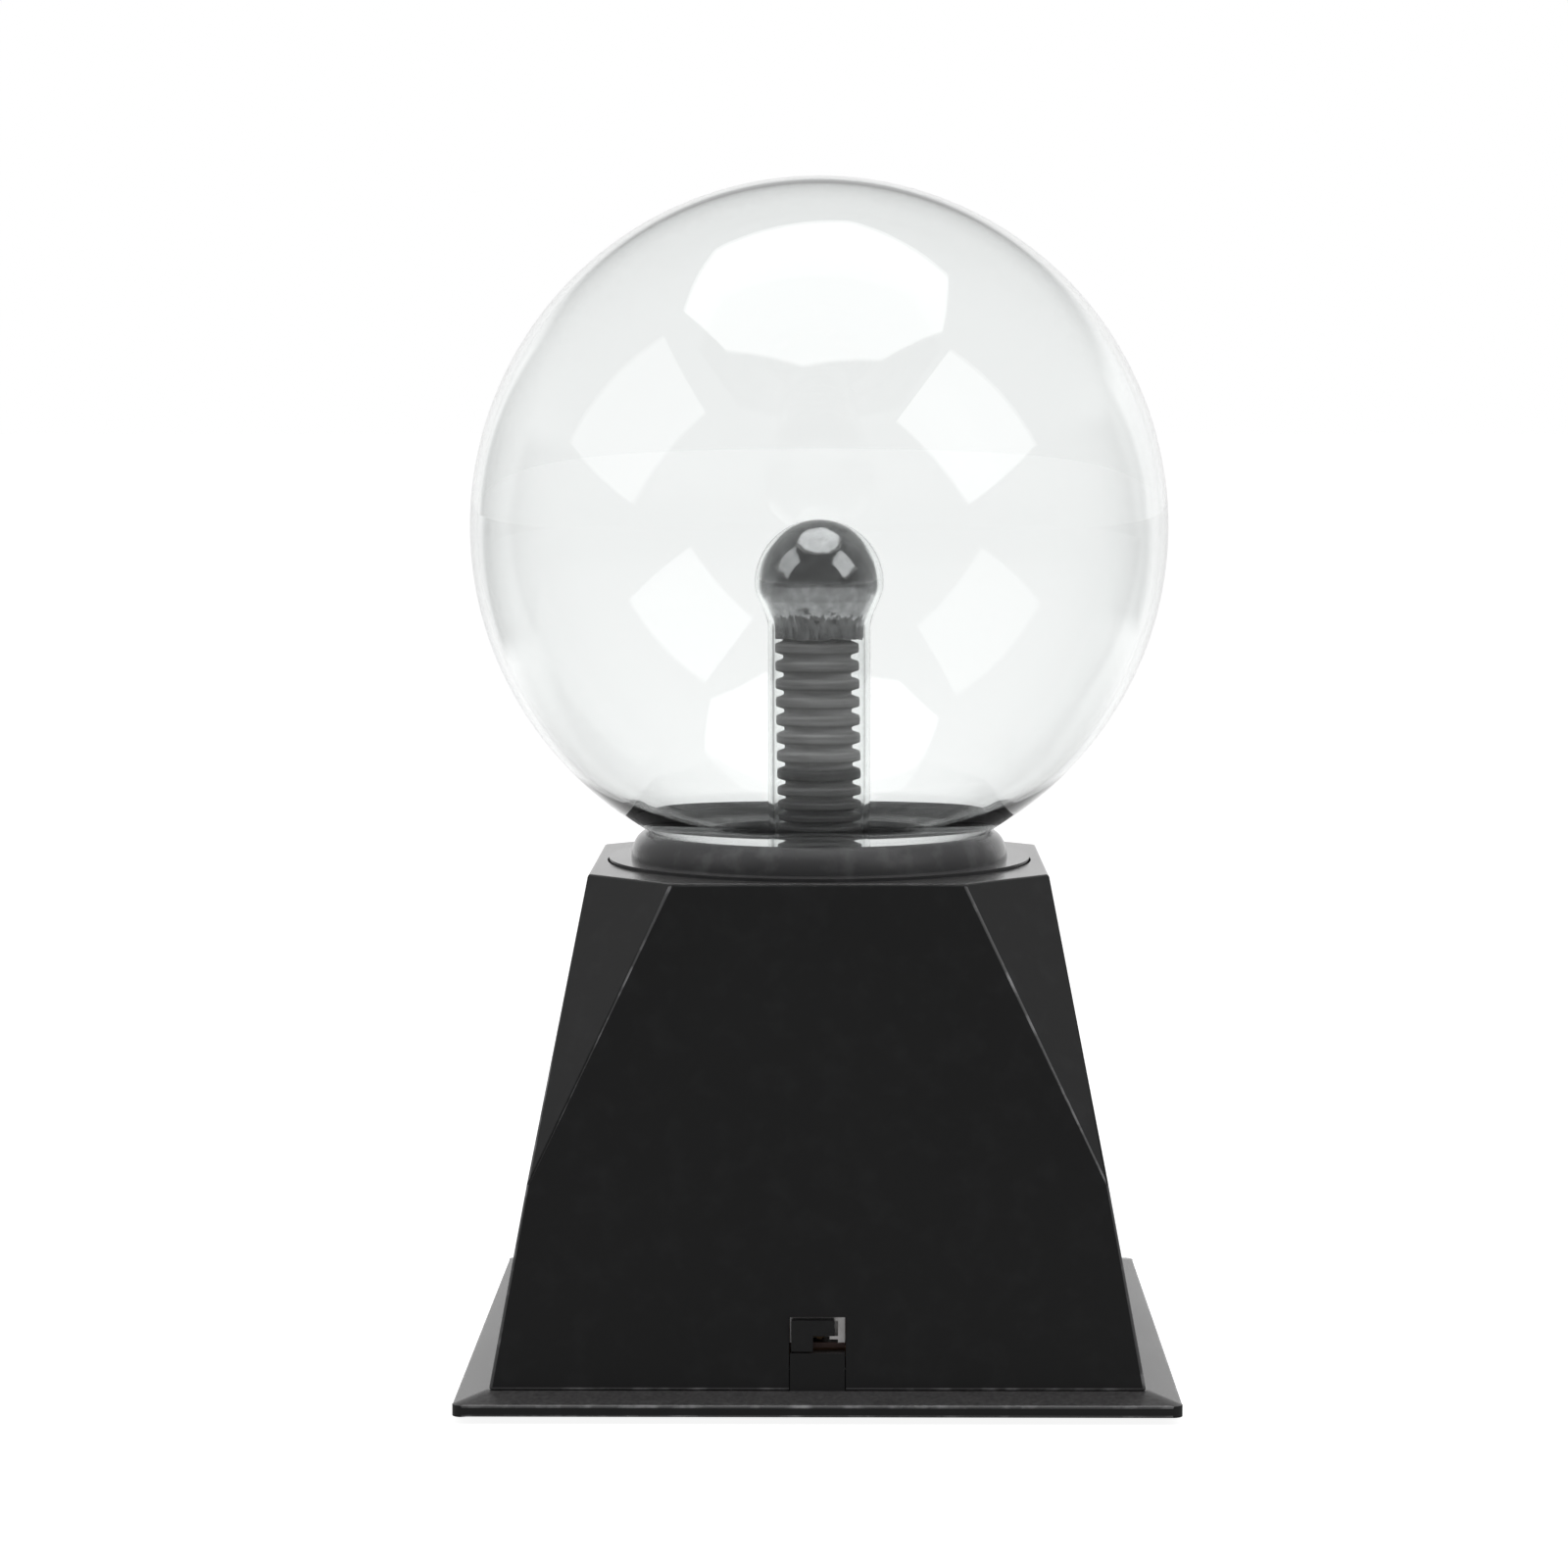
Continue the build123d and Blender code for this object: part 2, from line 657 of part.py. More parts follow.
def transformer_winding():
    """The varnished winding between the bobbin's flanges."""
    tall = bobbin_inner - bobbin_flange - close_fit
    inner_x = core_leg / 2 + bobbin_wall + close_fit
    inner_y = core_depth / 2 + bobbin_wall + 2 * close_fit
    outer_y = inner_y + winding_build
    outer = RectangleRounded(2 * (bobbin_half_x - close_fit), 2 * outer_y, winding_round)
    coil = extrude(outer - Rectangle(2 * inner_x, 2 * inner_y), 2 * tall)
    return at_core(Pos(0, 0, -tall) * coil)


def hv_lead():
    """The insulated lead from the winding's top, up through the sleeve to the wool."""
    start_y = core_place_y + bobbin_half_y - lead_inset
    start_z = core_middle + bobbin_inner
    middle_z = (start_z + sleeve_end) / 2
    path = FilletPolyline(
        (core_place_x, start_y, start_z),
        (core_place_x, start_y, middle_z - lead_offset_rise / 2),
        (0, 0, middle_z + lead_offset_rise / 2),
        (0, 0, wool_end),
        radius=lead_bend,
    )
    return sweep(Plane(origin=path @ 0, z_dir=path % 0) * Circle(lead_radius), path=path)


def heatsink():
    """A finned aluminium plate that stands on the board."""
    half = heatsink_width / 2
    sink = block((-half, half), (0, heatsink_plate), (0, heatsink_height))
    for i in range(fin_count):
        x = -half + i * (heatsink_width - fin_thickness) / (fin_count - 1)
        y = (heatsink_plate, heatsink_plate + fin_length)
        sink += block((x, x + fin_thickness), y, (0, heatsink_height))
    hole = Rot(90, 0, 0) * Cylinder(small_screw_radius + close_fit, 3 * heatsink_plate)
    sink -= Pos(0, 0, transistor_hole_z) * hole
    return Pos(heatsink_x, heatsink_y, board_top) * sink


transistor_hole_z = transistor_low + transistor_body + (transistor_height - transistor_body) / 2


def power_transistor():
    """The transistor on the heatsink's front: metal tab, moulded body and three legs."""
    half = transistor_width / 2
    high = transistor_low + transistor_height
    tab = block((-half, half), (-tab_thickness - close_fit, -close_fit), (transistor_low, high))
    hole = Rot(90, 0, 0) * Cylinder(small_screw_radius + loose_fit, 4 * tab_thickness)
    tab -= Pos(0, 0, transistor_hole_z) * hole
    body_z = (transistor_low, transistor_low + transistor_body)
    moulding = block((-half, half), (-body_thickness, -tab_thickness), body_z)
    part = tab + moulding
    for i in (-1, 0, 1):
        leg = Cylinder(leg_radius, transistor_low, align=UP)
        part += Pos(i * leg_pitch, -body_thickness / 2, 0) * leg
    return Pos(heatsink_x, heatsink_y, board_top) * part


def transistor_screw():
    """The screw that holds the transistor's tab to the heatsink."""
    screw = Rot(-90, 0, 0) * upright_screw(small_screw_radius, tab_thickness + heatsink_plate + screw_spare)
    place = Pos(heatsink_x, heatsink_y - tab_thickness - close_fit, board_top + transistor_hole_z)
    return place * screw


def can(radius, height):
    """An electrolytic capacitor: a can with a rolled groove near its foot."""
    body = Cylinder(radius, height, align=UP)
    body = fillet(body.edges().group_by(Axis.Z)[-1], can_round)
    groove = Pos(0, 0, groove_place) * Torus(radius + groove_centre, groove_radius)
    return body - groove


def main_capacitor():
    """The supply's large capacitor."""
    return Pos(*main_cap_place, board_top) * can(main_cap_radius, main_cap_height)


def small_capacitors():
    """Two small electrolytic capacitors."""
    return [Pos(x, y, board_top) * can(small_cap_radius, small_cap_height) for x, y in small_cap_places]


def film_capacitor():
    """A boxed film capacitor beside the transformer."""
    box = Box(*film_cap_size, align=UP)
    return Pos(*film_cap_place, board_top) * fillet(box.edges().filter_by(Axis.Z), film_cap_round)


def resistors():
    """Three resistors that lie on the board on bent legs."""
    reach = resistor_length / 2 + wire_reach
    lift = resistor_radius + wire_lift
    ends = [(-reach, 0, 0), (-reach, 0, lift), (reach, 0, lift), (reach, 0, 0)]
    path = FilletPolyline(*ends, radius=wire_bend)
    wire = sweep(Plane(origin=path @ 0, z_dir=path % 0) * Circle(wire_radius), path=path)
    body = Rot(0, 90, 0) * Cylinder(resistor_radius, resistor_length)
    body = fillet(body.edges(), resistor_round)
    one = wire + Pos(0, 0, lift) * body
    return [Pos(x, y, board_top) * one for x, y in resistor_places]


# ---- Slide switch -------------------------------------------------------------------------------

slot_low = switch_low + slot_border
rest_shift = -knob_travel / 2  # the knob's middle at rest, to the left


def switch_case():
    """The folded tin-plate case, open below, with the knob's slot open to its foot but for a tab."""
    half = switch_width / 2
    back = switch_front + switch_depth
    case = block((-half, half), (switch_front, back), (switch_low, switch_high))
    inner = half - switch_sheet
    room_y = (switch_front + switch_sheet, back - switch_sheet)
    room = block((-inner, inner), room_y, (switch_low, switch_high - switch_sheet))
    slot_half = slot_width / 2
    slot_y = (switch_front, switch_front + switch_sheet)
    slot = block((-slot_half, slot_half), slot_y, (switch_low, slot_low + slot_height))
    tab_x = (slot_half - slot_tab_width, slot_half)
    slot -= block(tab_x, slot_y, (slot_low - slot_tab_height, slot_low))
    return case - room - slot


def switch_base():
    """The phenolic board that closes the switch below."""
    half = switch_width / 2
    back = switch_front + switch_depth
    return block((-half, half), (switch_front, back), (board_top, switch_low))


slider_high = switch_high - switch_sheet - moving_fit
slider_low = slot_low - slider_drop
slider_front = switch_front + switch_sheet + moving_fit
slider_back = switch_front + switch_depth - switch_sheet - moving_fit


def switch_knob():
    """The knob, notched at its lower right, its neck through the slot, and the slider behind."""
    low = tongue_z + knob_low
    high = window_z - knob_high
    half = knob_width / 2
    cap_back = switch_front - moving_fit
    cap = block((-half, half), (cap_back - knob_thickness, cap_back), (low, high))
    cap = fillet(cap.edges().filter_by(Axis.Y), knob_round)
    cap -= block((half - knob_notch_width, half), (-case_foot, 0), (low, low + knob_notch_height))
    neck_half = stem_width / 2
    neck_low = slot_low + (slot_height - stem_height) / 2
    neck = block((-neck_half, neck_half), (cap_back, slider_front), (neck_low, neck_low + stem_height))
    slider_half = contact_width / 2
    slider = block((-slider_half, slider_half), (slider_front, slider_back), (slider_low, slider_high))
    return Pos(rest_shift, 0, 0) * (cap + neck + slider)


def switch_contact():
    """The bridging contact under the slider, which slides on the switch's base."""
    low = switch_low + moving_fit
    half = contact_width / 2
    depth = (slider_back - slider_front) / 4
    middle = (slider_front + slider_back) / 2
    foot_high = slider_low - contact_plate
    plate = block((-half, half), (middle - depth, middle + depth), (foot_high, slider_low))
    for x in (-contact_foot_place, contact_foot_place):
        foot_x = (x - contact_foot_width / 2, x + contact_foot_width / 2)
        plate += block(foot_x, (middle - depth, middle + depth), (low, foot_high))
    return Pos(rest_shift, 0, 0) * plate


# ---- Inlet jack ---------------------------------------------------------------------------------

jack_z = board_top + jack_axis
jack_face = board_back + jack_overhang
nose_end = case_half(jack_z) - jack_recess


def jack_housing():
    """The inlet's moulding, with a round nose through the case's back."""
    half = jack_width / 2
    body = block((-half, half), (jack_face - jack_depth, jack_face), (board_top, board_top + jack_height))
    axis = Pos(0, jack_face, jack_z) * Rot(-90, 0, 0)
    body += axis * Cylinder(jack_nose_radius, nose_end - jack_face, align=UP)
    bore = Pos(0, nose_end, jack_z) * Rot(90, 0, 0) * Cylinder(jack_bore, jack_bore_depth, align=UP)
    return Pos(jack_place, 0, 0) * (body - bore)


def jack_pin():
    """The inlet's centre pin."""
    length = jack_bore_depth - jack_floor
    pin = Cylinder(jack_pin_radius, length, align=UP)
    pin = fillet(pin.edges().group_by(Axis.Z)[-1], jack_pin_round)
    return Pos(jack_place, nose_end - jack_bore_depth, jack_z) * Rot(-90, 0, 0) * pin


# ---- Write one file for each piece --------------------------------------------------------------

pieces = {
    "globe_glass": globe_glass(),
    "electrode_stem": electrode_stem(),
    "electrode_coating": electrode_coating(),
    "electrode_wool": electrode_wool(),
    "corrugated_sleeve": corrugated_sleeve(),
    "stem_grommet": stem_grommet(),
    "hv_lead": hv_lead(),
    "collar_ring": collar_ring(),
    "globe_seat": globe_seat(),
    "neck_gasket": neck_gasket(),
    "clamp_ring": clamp_ring(),
    "clamp_screws": clamp_screws(),
    "case_shell": case_shell(),
    "case_screws": case_screws(),
    "base_plate": base_plate(),
    "rubber_feet": rubber_feet(),
    "circuit_board": circuit_board(),
    "board_screws": board_screws(),
    "transformer_core": transformer_core(),
    "transformer_bobbin": transformer_bobbin(),
    "transformer_winding": transformer_winding(),
    "heatsink": heatsink(),
    "power_transistor": power_transistor(),
    "transistor_screw": transistor_screw(),
    "main_capacitor": main_capacitor(),
    "small_capacitors": small_capacitors(),
    "film_capacitor": film_capacitor(),
    "resistors": resistors(),
    "switch_case": switch_case(),
    "switch_base": switch_base(),
    "switch_terminals": board_pins(switch_pins),
    "switch_knob": switch_knob(),
    "switch_contact": switch_contact(),
    "jack_housing": jack_housing(),
    "jack_pin": jack_pin(),
    "jack_terminals": board_pins(jack_pins),
}

for name, shape in pieces.items():
    solids = shape if isinstance(shape, list) else [shape]
    export_step(Compound(children=solids), f"parts/{name}.step")
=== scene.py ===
from math import cos, pi, radians, sin

import bmesh
import bpy
import numpy as np
from mathutils import Matrix, Vector


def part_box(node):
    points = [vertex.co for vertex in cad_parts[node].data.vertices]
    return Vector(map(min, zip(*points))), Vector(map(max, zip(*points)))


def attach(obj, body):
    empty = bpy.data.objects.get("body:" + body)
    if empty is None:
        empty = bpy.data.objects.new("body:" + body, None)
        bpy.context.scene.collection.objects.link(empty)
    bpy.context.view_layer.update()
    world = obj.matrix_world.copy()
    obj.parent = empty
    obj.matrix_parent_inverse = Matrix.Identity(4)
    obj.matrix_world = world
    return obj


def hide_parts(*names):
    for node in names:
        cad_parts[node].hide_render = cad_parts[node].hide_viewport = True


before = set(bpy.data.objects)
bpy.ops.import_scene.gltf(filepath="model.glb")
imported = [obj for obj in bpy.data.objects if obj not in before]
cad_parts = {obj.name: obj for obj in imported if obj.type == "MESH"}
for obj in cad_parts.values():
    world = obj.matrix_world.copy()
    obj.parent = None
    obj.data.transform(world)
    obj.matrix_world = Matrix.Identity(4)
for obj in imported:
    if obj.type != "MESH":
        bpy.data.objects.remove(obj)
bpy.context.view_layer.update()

# ---- Studio -------------------------------------------------------------------------------------
# A white room with a pale floor. One eight-sided softbox hangs overhead and a square one, turned
# on its corner, stands at each side. The camera is a little above the collar and looks down 5.1 degrees.

scene = bpy.context.scene
scene.view_settings.view_transform = "Standard"
scene.cycles.caustics_refractive = False

camera_distance = 0.6789
camera_height = 0.1547
camera_tilt = radians(5.079)
camera_turn = radians(0.318)
camera_data = bpy.data.cameras.new("camera")
camera_data.sensor_width = 36
camera_data.lens = 94.25
camera_data.shift_x = -0.02244
camera_data.clip_start = 0.01
camera = bpy.data.objects.new("camera", camera_data)
camera.location = (camera_distance * sin(camera_turn), -camera_distance * cos(camera_turn), camera_height)
camera.rotation_euler = (pi / 2 - camera_tilt, 0, camera_turn)
scene.collection.objects.link(camera)
scene.camera = camera


def linked(name, mesh):
    """A new object for a mesh, in the scene."""
    made = bpy.data.objects.new(name, mesh)
    scene.collection.objects.link(made)
    return made


def node(tree, kind, inputs, **settings):
    """A new shader node with its settings. Each input takes a fixed value or another node's output."""
    made = tree.nodes.new("ShaderNode" + kind)
    for name, setting in settings.items():
        setattr(made, name, setting)
    for name, value in inputs.items():
        if isinstance(value, bpy.types.NodeSocket):
            tree.links.new(value, made.inputs[name])
        else:
            made.inputs[name].default_value = value
    return made


def worked_out(tree, operation, *values):
    """The result of a math node on two or three values."""
    return node(tree, "Math", dict(enumerate(values)), operation=operation).outputs[0]


def ramp(tree, value, start_end, low_high, easing="LINEAR", **settings):
    """Goes from a low to a high number as a value goes from a start to an end."""
    inputs = {
        "Value": value,
        "From Min": start_end[0],
        "From Max": start_end[1],
        "To Min": low_high[0],
        "To Max": low_high[1],
    }
    return node(tree, "MapRange", inputs, interpolation_type=easing, **settings).outputs["Result"]


def mixed(tree, share, first, second, kind="RGBA", **settings):
    """Two colours, or two numbers where the kind is FLOAT, mixed by a share."""
    inputs = {"Factor": share, "A": first, "B": second}
    return node(tree, "Mix", inputs, data_type=kind, **settings).outputs["Result"]


def object_place(tree):
    """The object's own coordinates."""
    return node(tree, "TexCoord", {}).outputs["Object"]


def split(tree, place):
    """A place's or a direction's X, Y and Z."""
    return node(tree, "SeparateXYZ", {0: place}).outputs


def glowing(name, strength):
    """A softbox's front: plain even light."""
    made = bpy.data.materials.new(name)
    made.use_nodes = True
    tree = made.node_tree
    tree.nodes.remove(tree.nodes["Principled BSDF"])
    light = node(tree, "Emission", {"Strength": strength})
    tree.links.new(light.outputs[0], tree.nodes["Material Output"].inputs["Surface"])
    return made


def softbox(name, middle, facing, sides, reach, turn, strength):
    """A flat regular polygon at right angles to a direction: corner k is at an angle of k even steps
    round it."""
    angles = turn + np.arange(sides) * 2 * pi / sides
    across = Vector(facing).to_track_quat("-Z", "Y")
    points = [Vector(middle) + across @ Vector((reach * cos(a), reach * sin(a), 0)) for a in angles]
    mesh = bpy.data.meshes.new(name)
    mesh.from_pydata([tuple(p) for p in points], [], [tuple(range(sides))])
    mesh.materials.append(glowing(name, strength))
    made = linked(name, mesh)
    made.visible_camera = False


softbox("softbox_overhead", (0, -0.105, 1.0), (0, 0, -1), 8, 0.55, radians(-9), 1.9)
softbox("softbox_left", (-0.734, -0.280, 0.576), (-0.815, -0.311, 0.488), 4, 0.395, radians(-21), 1.1)
softbox("softbox_right", (0.640, -0.451, 0.580), (0.712, -0.502, 0.492), 4, 0.382, radians(17), 1.5)


def directly_seen(tree):
    """1 for a ray that has come from the camera with nothing but glass in its way, else 0."""
    ray = node(tree, "LightPath", {}).outputs
    bounces = worked_out(tree, "ADD", ray["Glossy Depth"], ray["Diffuse Depth"])
    unbounced = worked_out(tree, "LESS_THAN", bounces, 0.5)
    through_glass = worked_out(tree, "MULTIPLY", unbounced, ray["Is Transmission Ray"])
    return worked_out(tree, "MAXIMUM", through_glass, ray["Is Camera Ray"])


floor_half = 40.0
floor_glow = 0.90
paper_rise = (0.02, 0.40)
paper_glow = (0.05, 0.80)
paper_back = 0.45
paper_left = (-0.38 / paper_back, -0.28 / paper_back)
paper_right = (0.34 / paper_back, 0.48 / paper_back)
beside_paper = 0.15

floor_mesh = bpy.data.meshes.new("floor")
floor_corners = [(x * floor_half, y * floor_half, 0) for x, y in ((-1, -1), (1, -1), (1, 1), (-1, 1))]
floor_mesh.from_pydata(floor_corners, [], [(0, 1, 2, 3)])
floor_paint = bpy.data.materials.new("floor_paint")
floor_paint.use_nodes = True
floor_paint.cycles.emission_sampling = "NONE"
tree = floor_paint.node_tree
floor_shader = tree.nodes["Principled BSDF"]
floor_shader.inputs["Base Color"].default_value = (0.45, 0.45, 0.45, 1)
floor_shader.inputs["Roughness"].default_value = 0.9
floor_shader.inputs["Specular IOR Level"].default_value = 0.0
floor_shader.inputs["Emission Color"].default_value = (1, 1, 1, 1)

# In reflections the floor is a sheet of lit paper behind the object. From its back edge on, its
# sides spread with distance.
floor_place = split(tree, object_place(tree))
behind = worked_out(tree, "MAXIMUM", floor_place["Y"], paper_back)
sideways = worked_out(tree, "DIVIDE", floor_place["X"], behind)
reflected = ramp(tree, floor_place["Y"], paper_rise, paper_glow, "SMOOTHSTEP")
for side, change in ((paper_left, (beside_paper, 1)), (paper_right, (1, beside_paper))):
    reflected = worked_out(tree, "MULTIPLY", reflected, ramp(tree, sideways, side, change, "SMOOTHSTEP"))
shown = mixed(tree, directly_seen(tree), reflected, floor_glow, "FLOAT")
tree.links.new(shown, floor_shader.inputs["Emission Strength"])
floor_mesh.materials.append(floor_paint)
linked("floor", floor_mesh)

# In reflections the room is a lit backdrop low down behind the object, and dim towards the front.
backdrop_edges = (
    ("X", (-0.60, -0.50), (0, 1)),
    ("X", (0.66, 0.76), (1, 0)),
    ("Y", (0, 0.1), (0, 1)),
    ("Z", (0.25, 0.45), (1, 0)),
)
dim_front_to_back = (0.10, 0.42)
world = bpy.data.worlds.new("white_room")
scene.world = world
world.use_nodes = True
tree = world.node_tree
direction = split(tree, node(tree, "TexCoord", {}).outputs["Generated"])
backdrop = 1.0
for axis, start_end, low_high in backdrop_edges:
    edge = ramp(tree, direction[axis], start_end, low_high, "SMOOTHSTEP")
    backdrop = worked_out(tree, "MULTIPLY", backdrop, edge)
room_light = ramp(tree, direction["Y"], (-0.7, 0.4), dim_front_to_back, "SMOOTHSTEP")
reflected = worked_out(tree, "MAXIMUM", backdrop, room_light)
shown = mixed(tree, directly_seen(tree), reflected, 1.0, "FLOAT")
room = tree.nodes["Background"]
room.inputs["Color"].default_value = (1, 1, 1, 1)
tree.links.new(shown, room.inputs["Strength"])

# ---- Base plate ---------------------------------------------------------------------------------
# The square plinth is one black ABS moulding with a sloping border, vents underneath and a tongue
# that closes the foot of the switch's window. The mould leaves a fine even grain on it.


def noise(tree, place, size, detail):
    """A noise pattern with features of about a size in metres."""
    return node(tree, "TexNoise", {"Scale": 1.0 / size, "Detail": detail, "Vector": place}).outputs["Fac"]


def relief(tree, height, depth):
    """The normal of a surface that a pattern raises by a depth in metres."""
    return node(tree, "Bump", {"Height": height, "Distance": depth}).outputs["Normal"]


moulding = bpy.data.node_groups.new("moulded_skin", "ShaderNodeTree")
for name, kind, way in (
    ("Colour", "Color", "INPUT"),
    ("Scuffed Colour", "Color", "INPUT"),
    ("Roughness", "Float", "INPUT"),
    ("Roughness Spread", "Float", "INPUT"),
    ("Grain Size", "Float", "INPUT"),
    ("Grain Depth", "Float", "INPUT"),
    ("Dust", "Float", "INPUT"),
    ("Colour", "Color", "OUTPUT"),
    ("Roughness", "Float", "OUTPUT"),
    ("Normal", "Vector", "OUTPUT"),
):
    moulding.interface.new_socket(name=name, in_out=way, socket_type="NodeSocket" + kind)

dust_colour = (0.30, 0.29, 0.29, 1)
dust_holds = (0.60, 0.88)
given = moulding.nodes.new("NodeGroupInput").outputs
result = moulding.nodes.new("NodeGroupOutput").inputs
place = object_place(moulding)
scuffed = ramp(moulding, noise(moulding, place, 0.004, 6.0), (0.50, 0.78), (0, 1))
bare = mixed(moulding, scuffed, given["Colour"], given["Scuffed Colour"])
facing = split(moulding, node(moulding, "TexCoord", {}).outputs["Normal"])
settled = ramp(moulding, facing["Z"], dust_holds, (0, 1))
specks = ramp(moulding, noise(moulding, place, 0.0007, 6.0), (0.10, 0.90), (0, 1))
dust_and_shade_mix = worked_out(moulding, "MULTIPLY", worked_out(moulding, "MULTIPLY", settled, specks), given["Dust"])
moulding.links.new(mixed(moulding, dust_and_shade_mix, bare, dust_colour), result["Colour"])
cloudy = worked_out(moulding, "SUBTRACT", noise(moulding, place, 0.03, 4.0), 0.5)
uneven = worked_out(moulding, "MULTIPLY_ADD", cloudy, given["Roughness Spread"], given["Roughness"])
moulding.links.new(uneven, result["Roughness"])
grain_scale = worked_out(moulding, "DIVIDE", 1.0, given["Grain Size"])
grain = node(moulding, "TexNoise", {"Scale": grain_scale, "Detail": 2.0, "Vector": place}).outputs["Fac"]
moulding.links.new(relief(moulding, grain, given["Grain Depth"]), result["Normal"])


def plain(name, **values):
    """A new node material. Each value goes on the Principled shader's own socket of that name."""
    made = bpy.data.materials.new(name)
    made.use_nodes = True
    shader = made.node_tree.nodes["Principled BSDF"]
    for words, value in values.items():
        shader.inputs[words.replace("_", " ")].default_value = value
    return made, shader.inputs


def moulded(
    name, colour, scuffed, roughness, spread, grain_size, grain_depth, slant_gloss=0.5, dust_and_shade=0.0, **values
):
    """A material whose colour, roughness and relief come from the moulded skin. Fine grain looks
    smoother at a slant, so the roughness falls to slant_gloss of itself there. Dust settles on what
    faces up."""
    made, shader = plain(name, **values)
    tree = made.node_tree
    skin = tree.nodes.new("ShaderNodeGroup")
    skin.node_tree = moulding
    skin_values = ((*colour, 1), (*scuffed, 1), roughness, spread, grain_size, grain_depth, dust_and_shade)
    for way_in, value in zip(skin.inputs, skin_values):
        way_in.default_value = value
    slant = node(tree, "LayerWeight", {}).outputs["Facing"]
    smoother = ramp(tree, slant, (0.35, 0.95), (1.0, slant_gloss))
    tree.links.new(worked_out(tree, "MULTIPLY", skin.outputs["Roughness"], smoother), shader["Roughness"])
    tree.links.new(skin.outputs["Colour"], shader["Base Color"])
    tree.links.new(skin.outputs["Normal"], shader["Normal"])
    return made


def painted(piece, material):
    """The piece wears one material."""
    piece.data.materials.clear()
    piece.data.materials.append(material)
    return piece


def rounded_copy(node_name, name, least_length, radius, steps, face_material, corner_material):
    """A copy of a CAD node with its flat faces joined and its long outer corners rounded. The
    rounded corners have a material of their own, painted lighter as a highlight."""
    same_point = 2e-6
    flat_within = radians(0.6)
    corner_from = radians(20)
    sharp_from = radians(40)
    shape = bmesh.new()
    shape.from_mesh(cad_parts[node_name].data)
    bmesh.ops.remove_doubles(shape, verts=shape.verts, dist=same_point)
    bmesh.ops.dissolve_limit(shape, angle_limit=flat_within, verts=shape.verts, edges=shape.edges)
    long_corners = []
    for edge in shape.edges:
        if edge.is_manifold and edge.is_convex and edge.calc_length() > least_length:
            if edge.calc_face_angle() > corner_from:
                long_corners.append(edge)
    bmesh.ops.bevel(
        shape, geom=long_corners, offset=radius, offset_type="OFFSET", segments=steps, profile=0.5,
        affect="EDGES", clamp_overlap=False, material=1,
    )
    bmesh.ops.triangulate(shape, faces=[f for f in shape.faces if len(f.verts) > 4])
    bmesh.ops.dissolve_degenerate(shape, dist=same_point, edges=shape.edges)
    shape.verts.index_update()
    points = [tuple(v.co) for v in shape.verts]
    faces = [[v.index for v in f.verts] for f in shape.faces]
    finishes = [f.material_index for f in shape.faces]
    shape.free()
    mesh = bpy.data.meshes.new(name)
    mesh.materials.append(face_material)
    mesh.materials.append(corner_material)
    mesh.from_pydata(points, [], faces)
    mesh.polygons.foreach_set("material_index", finishes)
    mesh.shade_smooth()
    mesh.set_sharp_from_angle(angle=sharp_from)
    made = linked(name, mesh)
    flat_faces = made.modifiers.new("flat_faces", "WEIGHTED_NORMAL")
    flat_faces.keep_sharp = True
    flat_faces.weight = 100
    return made


black_shell = moulded(
    "black_shell", (0.0095, 0.0095, 0.0100), (0.016, 0.016, 0.017), 0.50, 0.12, 0.00035, 0.0000018,
    slant_gloss=0.3, dust_and_shade=0.32,
)
# The rounded corners are painted far lighter than the shell, with bright scuffs: a painted highlight along
# the edges.
painted_highlight_corner = moulded(
    "painted_highlight_corner", (0.11, 0.11, 0.112), (0.42, 0.42, 0.43), 0.28, 0.35, 0.0009, 0.00003,
    slant_gloss=0.8, dust_and_shade=0.30,
)
plinth = rounded_copy("base_plate", "plinth", 0.020, 0.00035, 3, black_shell, painted_highlight_corner)
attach(plinth, "ball")
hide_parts("base_plate")

# ---- Case ---------------------------------------------------------------------------------------
# The faceted housing is a second black ABS moulding. It drops over the plinth's rim and is held by
# four zinc-plated screws from below, whose heads the feet cover.

housing = rounded_copy("case_shell", "housing", 0.012, 0.0005, 3, black_shell, painted_highlight_corner)
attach(housing, "ball")
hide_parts("case_shell")

zinc = moulded("zinc", (0.66, 0.64, 0.57), (0.44, 0.43, 0.40), 0.28, 0.18, 0.0006, 0.00001, Metallic=1.0)
painted(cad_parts["case_screws"], zinc)

# ---- Rubber feet --------------------------------------------------------------------------------
# Four round pads of soft black rubber with a rounded lower edge. They are stuck in shallow pockets
# in the plinth's underside, over the heads of the case's screws.


def arc(centre, radius, start, end, count):
    """Points on a circle's arc in the profile's plane, between two angles in degrees."""
    angle = np.radians(np.linspace(start, end, count))
    return list(zip(centre[0] + radius * np.cos(angle), centre[1] + radius * np.sin(angle)))


def ring_faces(rows, steps):
    """Four-cornered faces from each closed ring of points to the next."""
    row = np.arange(rows - 1)[:, None] * steps
    here = np.arange(steps)[None, :]
    after = (here + 1) % steps
    corners = [row + here, row + after, row + steps + after, row + steps + here]
    return np.stack(corners, axis=-1).reshape(-1, 4)


def surface(name, points, faces, sharp):
    """An object from arrays of points and faces, with doubles merged and faces outwards."""
    mesh = bpy.data.meshes.new(name)
    mesh.from_pydata(points.reshape(-1, 3).tolist(), [], faces.tolist())
    shape = bmesh.new()
    shape.from_mesh(mesh)
    bmesh.ops.remove_doubles(shape, verts=shape.verts, dist=1e-7)
    bmesh.ops.recalc_face_normals(shape, faces=shape.faces)
    shape.to_mesh(mesh)
    shape.free()
    mesh.shade_smooth()
    mesh.set_sharp_from_angle(angle=radians(sharp))
    return linked(name, mesh)


